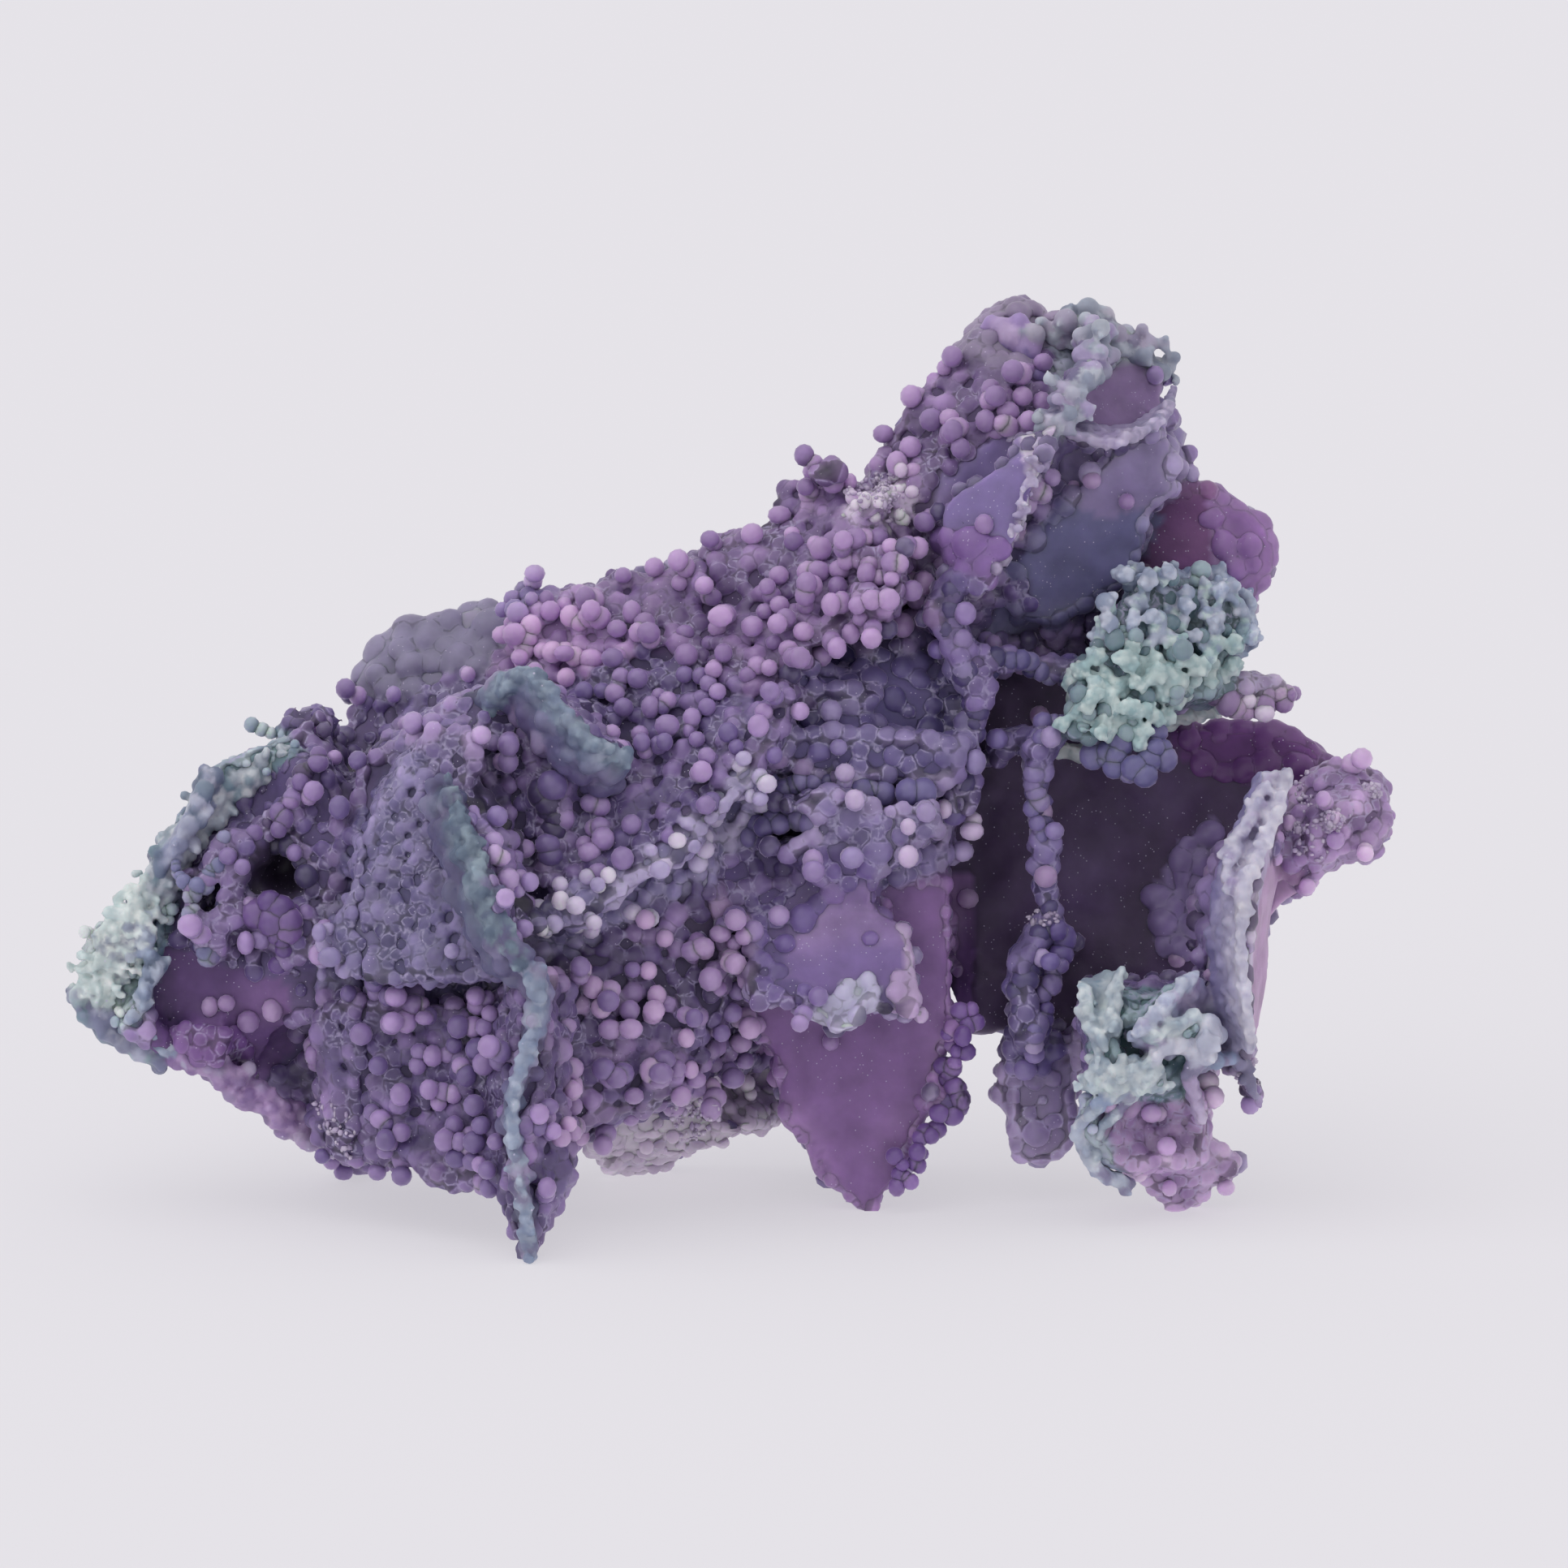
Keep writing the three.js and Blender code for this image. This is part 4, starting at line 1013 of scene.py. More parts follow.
@dataclass
class Bunch:
    """Many balls of one kind: where each is, which way it faces, its radius and its colours.

    Height is how far a ball stands up along its facing, as a share of its radius. Ring tells how much its
    painted shade darkens its middle, from 0 to 1, while its rim gets a little painted highlight.
    """

    centres: Rows
    facing: Rows
    radii: Rows
    shade: Rows
    light: Rows
    height: Rows | float = 1.0
    ring: Rows | float = 0.15

    def __post_init__(self) -> None:
        """Gives each ball its own height and ring."""
        self.height = np.broadcast_to(self.height, len(self.radii))
        self.ring = np.broadcast_to(self.ring, len(self.radii))

    def __len__(self) -> int:
        """Counts the balls."""
        return len(self.radii)

    def part(self, chosen: Rows) -> "Bunch":
        """Keeps some of the balls, chosen by a mask or by their places."""
        return Bunch(*(getattr(self, f.name)[chosen] for f in fields(self)))

    @staticmethod
    def joined(bunches: list["Bunch"]) -> "Bunch":
        """Puts the balls of some bunches in one."""
        return Bunch(*(np.concatenate([getattr(b, f.name) for b in bunches]) for f in fields(Bunch)))

    def forms(self, shape: BallShape, random: Random, out_of_round: float) -> tuple[Rows, Rows, Rows]:
        """Turns the balls into arrays.

        Args:
            shape: The ball that each starts from.
            random: The seeded generator.
            out_of_round: How far a ball's sides may differ.

        Returns:
            The vertices, the triangles and each vertex's colour.
        """
        ball, triangles = shape.arrays()
        turned = ball[None] @ random_turns(len(self), random)
        turned *= 1 + out_of_round * random.standard_normal((len(self), 1, 3))
        toward = np.einsum("nkc,nc->nk", turned, self.facing)[..., None]
        shaped = turned + self.facing[:, None] * toward * (self.height - 1)[:, None, None]
        points = self.centres[:, None] + shaped * self.radii[:, None, None]
        ring = self.ring[:, None, None]
        # Painted light: the far side gets painted shade, the rim a painted pale highlight, and the middle
        # falls back to the shade.
        lit = smooth_step(-0.8, 0.0, toward) * (1 + 0.6 * ring - 1.6 * ring * smooth_step(0.1, 0.9, toward))
        tints = blend(self.shade[:, None], self.light[:, None], lit)
        points[..., 2] = np.maximum(points[..., 2], 0.0)
        faces = triangles[None] + (np.arange(len(self)) * len(ball))[:, None, None]
        return points.reshape(-1, 3), faces.reshape(-1, 3), tints.reshape(-1, 3)

    def single(self, name: str, shape: BallShape, material: Material, random: Random,
               out_of_round: float = 0.06) -> None:
        """Makes the balls into pieces as they are, parted from left to right.

        Args:
            name: The pieces' name, to which a number is added.
            shape: The ball that each starts from.
            material: The finish.
            random: The seeded generator.
            out_of_round: How far a ball's sides may differ.
        """
        most = MOST_FACES // len(shape.arrays()[1])
        across = np.argsort(self.centres[:, 0])
        for number, chosen in enumerate(np.array_split(across, math.ceil(len(self) / most)), start=1):
            vertices, triangles, tints = self.part(chosen).forms(shape, random, out_of_round)
            dress(f"{name}_{number}", joined_mesh(name, vertices, triangles), tints, material)

    def run_together(self, name: str, material: Material, random: Random,
                     voxel_mm: float, slabs: int = 1, kept: float = 1.0) -> None:
        """Melts the balls into closed pieces, parted from left to right.

        Args:
            name: The pieces' name, to which a number is added.
            material: The finish.
            random: The seeded generator.
            voxel_mm: The size of their faces.
            slabs: How many pieces.
            kept: The share of their triangles that stay.
        """
        across = np.argsort(self.centres[:, 0])
        for number, chosen in enumerate(np.array_split(across, slabs), start=1):
            balls = self.part(chosen)
            vertices, triangles, _ = balls.forms(BallShape.FINE, random, out_of_round=0.08)
            mesh = melted(joined_mesh(name, vertices, triangles), voxel_mm, smoothing=1, kept=kept)
            points = move_vertices(mesh, mesh_arrays(mesh)[0])
            tints, rim, dust_and_painted_light = balls.tints_at(points)
            dress(f"{name}_{number}", mesh, tints, material, {"rim": rim, "dust_and_painted_light": dust_and_painted_light})

    def tints_at(self, points: Rows) -> tuple[Rows, Rows, Rows]:
        """Colours points of the balls' melted surface.

        Args:
            points: Rows in metres.

        Returns:
            For each point, a linear colour with painted light and shade, how many mm it is from its ball's
            rim, and its share of dust and painted light.
        """
        tree = tree_of(self.centres)
        found = [[(far, ball) for _, ball, far in tree.find_n(p, 3)] for p in points]
        far, ball = np.moveaxis(np.array(found), 2, 0)
        ball = ball.astype(int)
        depth = far - self.radii[ball]
        order = np.argsort(depth, axis=1)
        first, second = (np.take_along_axis(ball, order, 1)[:, i] for i in (0, 1))
        depth = np.take_along_axis(depth, order, 1) / MM
        gap = depth[:, 1] - depth[:, 0]
        # Near the seam the colour is half the neighbour's.
        share = 0.5 * (1 - smooth_step(0.0, 0.5, gap))[:, None]
        shade, light = (rows[first] * (1 - share) + rows[second] * share
                        for rows in (self.shade, self.light))
        toward = np.einsum("ij,ij->i", unit(points - self.centres[first]), self.facing[first])
        rim = np.minimum(gap, toward * far[:, 0] / MM)
        ring = self.ring[first]
        # Painted light: the far side gets painted shade, the rim near the seam a painted pale highlight,
        # and the middle falls back to the shade.
        lit = smooth_step(-0.8, 0.1, toward) * (1 + ring * (0.2 - 0.85 * smooth_step(0.1, 0.7, rim)))
        # Patches of dust decide where the painted rings and seam shade show.
        patches = smooth_step(-0.5, 0.15, Patches.PAINTED_LIGHT_AND_DUST.at(points))
        return blend(shade, light, lit[:, None]), rim, np.clip(ring * 1.8 - 0.15, 0, 1) * patches

    def grains(self, count: int, size_mm: tuple[float, float], tint: Tint, random: Random,
               steepest: float = 0.2, flattest: float = 1.0) -> "Bunch":
        """Sets grains at random on the balls.

        Args:
            count: How many grains.
            size_mm: Their smallest and largest radius.
            tint: Their colours.
            random: The seeded generator.
            steepest: The cosine from the ball's facing where the lowest grains sit.
            flattest: The cosine where the highest sit.

        Returns:
            The grains.
        """
        balls = self.part(random.integers(len(self), size=count))
        side, other = aside(balls.facing)
        cosine = random.uniform(steepest, flattest, (count, 1))
        turn = random.uniform(0, 2 * math.pi, (count, 1))
        around = side * np.cos(turn) + other * np.sin(turn)
        outward = balls.facing * cosine + around * np.sqrt(1 - cosine**2)
        deep, pale, proud = tint.linear()
        light = blend(pale, proud, random.random((count, 1)))
        centres = balls.centres + outward * (balls.radii * random.uniform(0.9, 1.1, count))[:, None]
        return Bunch(centres, outward, random.uniform(*size_mm, count) * MM, blend(deep, light, 0.7), light)


def random_turns(count: int, random: Random) -> Rows:
    """Makes random rotations.

    Args:
        count: How many.
        random: The seeded generator.

    Returns:
        One 3 by 3 matrix for each.
    """
    a, b = unit(random.standard_normal((count, 3))), random.standard_normal((count, 3))
    b = unit(b - a * np.sum(a * b, axis=1, keepdims=True))
    return np.stack([a, b, np.cross(a, b)], axis=1)


def spread_out(points: Rows, spacing: Rows) -> Rows:
    """Keeps points in their order, leaving out those too near one already kept.

    Args:
        points: Rows in metres.
        spacing: How much room each asks for, in metres.

    Returns:
        The places of the points kept.
    """
    cell = float(spacing.max())
    rooms: dict[tuple[int, int, int], list[int]] = {}
    keys = np.floor(points / cell).astype(int)
    around = [(x, y, z) for x in (-1, 0, 1) for y in (-1, 0, 1) for z in (-1, 0, 1)]
    rows, gaps, chosen = points.tolist(), spacing.tolist(), []
    for i, key in enumerate(map(tuple, keys.tolist())):
        x, y, z = rows[i]
        near = (j for dx, dy, dz in around for j in rooms.get((key[0] + dx, key[1] + dy, key[2] + dz), ()))
        if any((x - rows[j][0]) ** 2 + (y - rows[j][1]) ** 2 + (z - rows[j][2]) ** 2
               < ((gaps[i] + gaps[j]) / 2) ** 2 for j in near):
            continue
        rooms.setdefault(key, []).append(i)
        chosen.append(i)
    return np.array(chosen, int)


@dataclass
class Grapes:
    """The grapes: on the sharp rims of the blades, over the surfaces, and on each other.

    Spacing, lift and reach are in grape radii. Rims of smooth blades are scalloped: their grapes sit
    closer and lower. A bias over 1 makes small grapes, or low ones, commoner. Tones are changes from 0,
    a grape's shade, to 1, its light. Bunches are spots of the face where grapes pile up, each as u, v and
    radius in mm.
    """

    surface: Surface
    random: Random
    crests: Bunch
    rim_angle_deg: float = 48.0
    rim_step_mm: float = 0.5
    rim_spacing: float = 1.15
    rim_lift: tuple[float, float] = (-0.5, -0.05)
    scallop_spacing: float = 0.95
    scallop_lift: tuple[float, float] = (-0.65, -0.3)
    rim_radius_mm: float = 1.25
    tries: int = 150_000
    lowest_mm: float = 0.2
    crest_gap: float = 0.2
    small_bias: float = 1.3
    low_bias: float = 1.4
    crowding: float = 0.12
    most_sunk: float = 0.9
    seat: float = 0.1
    scatter_tone: float = 0.1
    rim_tone: float = 0.1
    patch_tone: float = 0.12
    tone_range: tuple[float, float] = (0.05, 1.1)
    dome_lift: float = -0.2
    higher: tuple[float, ...] = (0.3, 0.08)
    pile_scatter: float = 0.42
    pile_forward: float = 0.3
    pile_growth: tuple[float, float] = (1.0, 1.2)
    pile_radius_mm: tuple[float, float] = (0.5, 1.2)
    pile_reach: tuple[float, float] = (0.55, 0.8)
    bunches: tuple[tuple[float, float, float], ...] = (
        (-4.6, 57.1, 3.6), (-12.3, 45, 3.8), (16.3, 70, 5), (6.7, 66.7, 4), (9.6, 80, 2), (-20, 64.6, 4),
        (24.2, 85.8, 4.5), (23.4, 91, 2), (-2, 33, 2.6), (-9, 27.5, 3), (-0.5, 25.5, 2.4), (-14, 28, 2.4),
        (-5, 19, 2.6), (-29, 21, 2.6), (-25, 12, 3), (-35.5, 26.5, 2.4), (19, 47, 1.6), (-41.5, 33.5, 2.2))
    bunch_share: float = 0.62
    bunch_out_mm: float = -14.0
    sunk_ring: float = 0.45
    rim_set_back: float = 0.55
    dome_ring: float = 0.14

    def rim_points(self) -> tuple[Rows, Rows]:
        """Walks along the solid's sharp edges.

        Returns:
            Points on the grown body's rims and their outward directions.
        """
        sharp = math.radians(self.rim_angle_deg)
        work = merged_solid()
        found = []
        for edge in work.edges:
            if len(edge.link_faces) != 2 or edge.calc_face_angle_signed(0.0) < sharp:
                continue
            a, b = (v.co for v in edge.verts)
            steps = int((b - a).length / (self.rim_step_mm * MM))
            found += [a.lerp(b, (k + 0.5) / steps) for k in range(steps)]
        work.free()
        nearest = [self.surface.tree.find_nearest(p, 3 * MM) for p in found]
        nearest = [n for n in nearest if n[0] is not None]
        return np.array([n[0] for n in nearest]), unit(np.array([n[1] for n in nearest]))

    def clear_of_crests(self, points: Rows, radii: Rows) -> Rows:
        """Tells which grapes would stand clear of the crests.

        Args:
            points: Where they sit.
            radii: Their radii in metres.

        Returns:
            True or False for each.
        """
        tree = tree_of(self.crests.centres)
        nearest = [tree.find(p) for p in points]
        far, ball = np.array([n[2] for n in nearest]), np.array([n[1] for n in nearest])
        return far > self.crests.radii[ball] + self.crest_gap * radii

    def grow(self) -> tuple[Bunch, Bunch, Bunch]:
        """Grows all the grapes.

        Returns:
            The grapes on the front, those on the back, and the ones that sit on other grapes.
        """
        rims, rim_normals = self.rim_points()
        shuffle = self.random.permutation(len(rims))
        points, normals = self.surface.sample(self.tries, self.random)
        points = np.concatenate([rims[shuffle], points])
        normals = np.concatenate([rim_normals[shuffle], normals])
        on_rim = np.arange(len(points)) < len(rims)
        zone = zones_at(points, normals)
        low, high = per_zone(zone, lambda z: z.growth.radius_mm).T
        scalloped = on_rim & (per_zone(zone, lambda z: z.skin is Skin.LIGHT) > 0)
        high = np.where(on_rim & ~scalloped, np.minimum(high, self.rim_radius_mm), high)
        radii = blend(low, high, self.random.random(len(points)) ** self.small_bias) * MM
        spacing = np.where(on_rim, self.rim_spacing, per_zone(zone, lambda z: z.growth.spacing))
        spacing = np.where(scalloped, self.scallop_spacing, spacing)
        spacing = spacing * (1 + self.crowding * Patches.CROWDING.at(points)) * radii
        grows = per_zone(zone, lambda z: z.growth.where is Where.ALL) > 0
        grows |= on_rim & (per_zone(zone, lambda z: z.growth.where is Where.RIMS) > 0)
        high_enough = points[:, 2] > self.lowest_mm * MM
        fits = np.flatnonzero(grows & high_enough & self.clear_of_crests(points, radii))
        chosen = fits[spread_out(points[fits], spacing[fits])]
        LOG.info("%d grapes from %d places", len(chosen), len(fits))
        return self.dressed(points[chosen], normals[chosen], radii[chosen], zone[chosen], on_rim[chosen])

    def dressed(self, points: Rows, normals: Rows, radii: Rows, zone: Rows,
                on_rim: Rows) -> tuple[Bunch, Bunch, Bunch]:
        """Lifts and colours the grapes, with painted light and shade. Those that are sunk are low domes
        with a painted dark middle.

        Args:
            points: Where they sit on the body.
            normals: The outward directions there.
            radii: Their radii in metres.
            zone: Their zones.
            on_rim: Whether each sits on a rim.

        Returns:
            The grapes on the front, those on the back, and the ones that sit on other grapes.
        """
        smooth_skin = per_zone(zone, lambda z: z.skin is Skin.LIGHT) > 0
        open_share = self.surface.openness(points, normals, rays=14)
        low, high = per_zone(zone, lambda z: z.growth.lift).T
        rim_low, rim_high = (np.where(smooth_skin, a, b) for a, b in zip(self.scallop_lift, self.rim_lift))
        low, high = np.where(on_rim, rim_low, low), np.where(on_rim, np.maximum(high, rim_high), high)
        rise = self.random.random(len(points)) ** self.low_bias
        lift = blend(low, high, rise)
        sunk = np.clip(-lift, 0, self.most_sunk)
        width = np.sqrt(1 - sunk**2)
        centres = points + normals * (radii * (np.maximum(lift, 0) - self.seat))[:, None]
        at_front = normals @ TOWARD_VIEWER > 0
        set_back = radii * np.where(on_rim & smooth_skin, self.rim_set_back, 0.0) * at_front
        centres -= TOWARD_VIEWER * set_back[:, None]
        # Painted light and shade: grapes that stand open and rise high are lighter, closed-in ones get
        # painted shade; rim grapes are a little lighter, and scatter and patches vary the tone at random.
        tone = smooth_step(*OPEN_RANGE, open_share) * (0.52 + 0.5 * rise)
        tone = tone + self.scatter_tone * self.random.standard_normal(len(rise))
        tone += self.rim_tone * on_rim + self.patch_tone * Patches.GRAPE_TONE.at(points)
        dome = smooth_skin & (lift < self.dome_lift)
        tone = np.where(dome, skin_tone(points, open_share) + 0.08 * on_rim, tone)
        tone = np.clip(tone, *self.tone_range)[:, None]
        deep, pale, proud = zone_colours(zone)
        # Grapes on rims and those that stand proud take on some of the proud colour, partly painted light.
        gleam = np.where(dome, 0.15 * on_rim, 0.4 * on_rim + 0.35 * (lift > 0.1))[:, None]
        light = blend(deep, pale, tone) + (proud - pale) * tone * gleam
        shade = blend(deep, light, np.where(dome, 0.8, 0.35)[:, None])
        ring = np.where(dome, self.dome_ring, self.sunk_ring * (1 - smooth_step(-0.4, 0.4, lift)) + 0.15)
        grapes = Bunch(centres, normals, radii * width, shade, light, (1.1 - sunk) / width, ring)
        behind = zone >= ALL_ZONES.index(BACK)
        return grapes.part(~behind), grapes.part(behind), self.piled(grapes, zone, open_share)

    def piled(self, grapes: Bunch, zone: Rows, open_share: Rows) -> Bunch:
        """Piles further grapes on some of them, on most of those in a bunch.

        Args:
            grapes: All the grapes on the body.
            zone: Their zones.
            open_share: How open each one stands.

        Returns:
            The grapes that sit on other grapes.
        """
        _, pale, proud = zone_colours(zone)
        drawn = FACE.to_face(grapes.centres)
        bunched = np.zeros(len(zone), bool)
        for u, v, radius in self.bunches:
            bunched |= np.hypot(drawn[:, 0] - u, drawn[:, 1] - v) < radius
        bunched &= drawn[:, 2] > self.bunch_out_mm
        # Grapes pile up in patches, in bunches, where it is open and where the surface faces the viewer.
        share = per_zone(zone, lambda z: z.growth.raised)
        share *= 2.2 * smooth_step(-0.1, 0.6, Patches.PILES.at(grapes.centres))
        share = np.where(bunched, self.bunch_share, share) * smooth_step(0.3, 0.6, open_share)
        share *= smooth_step(-0.1, 0.5, grapes.facing @ TOWARD_VIEWER)
        parents = np.flatnonzero(self.random.random(len(zone)) < share)
        levels = [self.stacked(grapes, parents, proud[parents], pale[parents])]
        for again in self.higher:
            chosen = np.flatnonzero(self.random.random(len(parents)) < again)
            parents = parents[chosen]
            levels.append(self.stacked(levels[-1], chosen, proud[parents], pale[parents]))
        return Bunch.joined(levels)

    def stacked(self, under: Bunch, parents: Rows, proud: Rows, pale: Rows) -> Bunch:
        """Sets a grape on each of some grapes, out from the body and a little aside.

        Args:
            under: The grapes below.
            parents: Which of them carry one.
            proud: The colour in full light for each.
            pale: The colour in soft light for each.

        Returns:
            The new grapes.
        """
        below = under.part(parents)
        facing = below.facing + self.random.standard_normal((len(below), 3)) * self.pile_scatter
        facing = unit(facing + TOWARD_VIEWER * self.pile_forward)
        radii = below.radii * self.random.uniform(*self.pile_growth, len(below))
        radii = np.clip(radii, *(limit * MM for limit in self.pile_radius_mm))
        reach = (below.radii * below.height + radii) * self.random.uniform(*self.pile_reach, len(below))
        centres = below.centres + facing * reach[:, None]
        # Piled grapes take on the proud colour, partly painted light, and their far side gets painted
        # shade.
        light = blend(pale, proud, self.random.uniform(0.0, 1.15, len(below))[:, None])
        return Bunch(centres, unit(facing + below.facing), radii, light * 0.66, light * 1.04, 1.0, 0.22)


# Crests: how far a blade's rows lie behind each other, how much its balls stray in and out, and how much
# their steps and sizes vary.
ROW_STEP_MM = 0.85
OUT_STRAY_MM = 0.25
STEP_RANGE = (0.8, 1.2)
SIZE_RANGE = (0.7, 1.1)


@dataclass(frozen=True)
class Crest:
    """A knobbly rib or crest along a path of u, v, out and radius in mm.

    A draped crest's out is counted from the body's front. Step and wobble are in ball radii. Several
    strands beside each other make a ragged ribbon, and several rows behind each other a thin blade, which
    may lean, flare at its foot and have its own base colour. Other is the colour of its patches. A crest
    that doesn't melt stays a chain of grapes. Grains is how many sit on each ball of its edge.
    """

    name: str
    path: Path
    tint: Tint
    other: Tint | None = None
    step: float = 0.5
    wobble: float = 0.16
    strands: int = 1
    spread_mm: float = 0.0
    rows: int = 1
    flare_mm: float = 0.0
    lean_mm: tuple[float, float] = (0.0, 0.0)
    base: Tint | None = None
    draped: bool = False
    melts: bool = True
    grains: float = 0.0
    grain_mm: tuple[float, float] = (0.18, 0.36)

    def bunch(self, surface: Surface, random: Random) -> Bunch:
        """Grows overlapping balls along the path, the edge's row first.

        Args:
            surface: The grown body, for its front and for how open the crest stands.
            random: The seeded generator.

        Returns:
            The crest's balls.
        """
        knots = np.array(self.path)
        if self.draped:
            knots[:, 2] += surface.front_out(knots[:, :2])
        along = np.concatenate([[0], np.cumsum(np.linalg.norm(np.diff(knots[:, :3], axis=0), axis=1))])
        at, stops = 0.0, []
        while at < along[-1]:
            stops += [at] * self.strands
            at += self.step * float(np.interp(at, along, knots[:, 3])) * random.uniform(*STEP_RANGE)
        drawn = np.column_stack([np.interp(stops, along, knots[:, i]) for i in range(4)])
        spread_mm = (self.spread_mm, self.spread_mm, OUT_STRAY_MM)
        drawn[:, :3] += random.standard_normal((len(drawn), 3)) * spread_mm
        back = np.array((*self.lean_mm, -ROW_STEP_MM, self.flare_mm))
        drawn = np.concatenate([drawn + back * row for row in range(self.rows)])
        radii = drawn[:, 3] * random.uniform(*SIZE_RANGE, len(drawn)) * MM
        stray = random.standard_normal((len(drawn), 3)) * self.wobble * radii[:, None]
        foot = np.repeat(np.arange(self.rows) / self.rows, len(stops))[:, None]
        return self.coloured(FACE.to_frame(drawn[:, :3]) + stray, radii, foot, surface)

    def coloured(self, centres: Rows, radii: Rows, foot: Rows, surface: Surface) -> Bunch:
        """Colours the balls by patches, by how open they stand and by how near the foot they are. Closed-in
        balls get painted shade, the foot takes the base colour with more painted shade, and open balls
        get painted glints.

        Args:
            centres: Rows in metres.
            radii: The radii in metres.
            foot: From 0 at the crest's edge to 1 at its foot, as a column.
            surface: The grown body.

        Returns:
            The balls.
        """
        facing = facing_viewer(len(centres))
        patch = smooth_step(-0.2, 0.3, Patches.CREST_TINT.at(centres))[:, None]
        mixed = [blend(a, b, patch) for a, b in zip(self.tint.linear(), (self.other or self.tint).linear())]
        deep, pale, proud = (blend(a, b, foot) for a, b in zip(mixed, (self.base or self.tint).linear()))
        # Painted shade where the balls are closed in and toward the foot.
        tone = smooth_step(0.2, 0.8, surface.openness(centres, facing, rays=10))[:, None] * (1 - 0.5 * foot)
        # Glint patches: painted highlights on open balls.
        glint = np.clip(Patches.CREST_GLINT.at(centres), 0, 1)[:, None]
        light = blend(deep, pale, 0.25 + 0.75 * tone) + (proud - pale) * glint * tone
        return Bunch(centres, facing, radii, blend(deep, light, 0.4), light, 1.0, 0.2)

    def edge_grains(self, balls: Bunch, random: Random) -> Bunch:
        """Sets pale grains on those of the crest's balls that are in its edge's row."""
        edge = balls.part(np.arange(len(balls) // self.rows))
        return edge.grains(int(len(edge) * self.grains), self.grain_mm, self.tint, random, steepest=-0.2)


def crests_grown(surface: Surface, random: Random) -> tuple[Bunch, Bunch, Bunch]:
    """Grows all the crests.

    Args:
        surface: The grown body.
        random: The seeded generator.

    Returns:
        The balls that melt, those that stay chains, and the grains.
    """
    grown = [(crest, crest.bunch(surface, random)) for crest in CRESTS]
    grains = [crest.edge_grains(balls, random) for crest, balls in grown if crest.grains]
    fins = [balls for crest, balls in grown if crest.melts]
    chains = [balls for crest, balls in grown if not crest.melts]
    return Bunch.joined(fins), Bunch.joined(chains), Bunch.joined(grains)


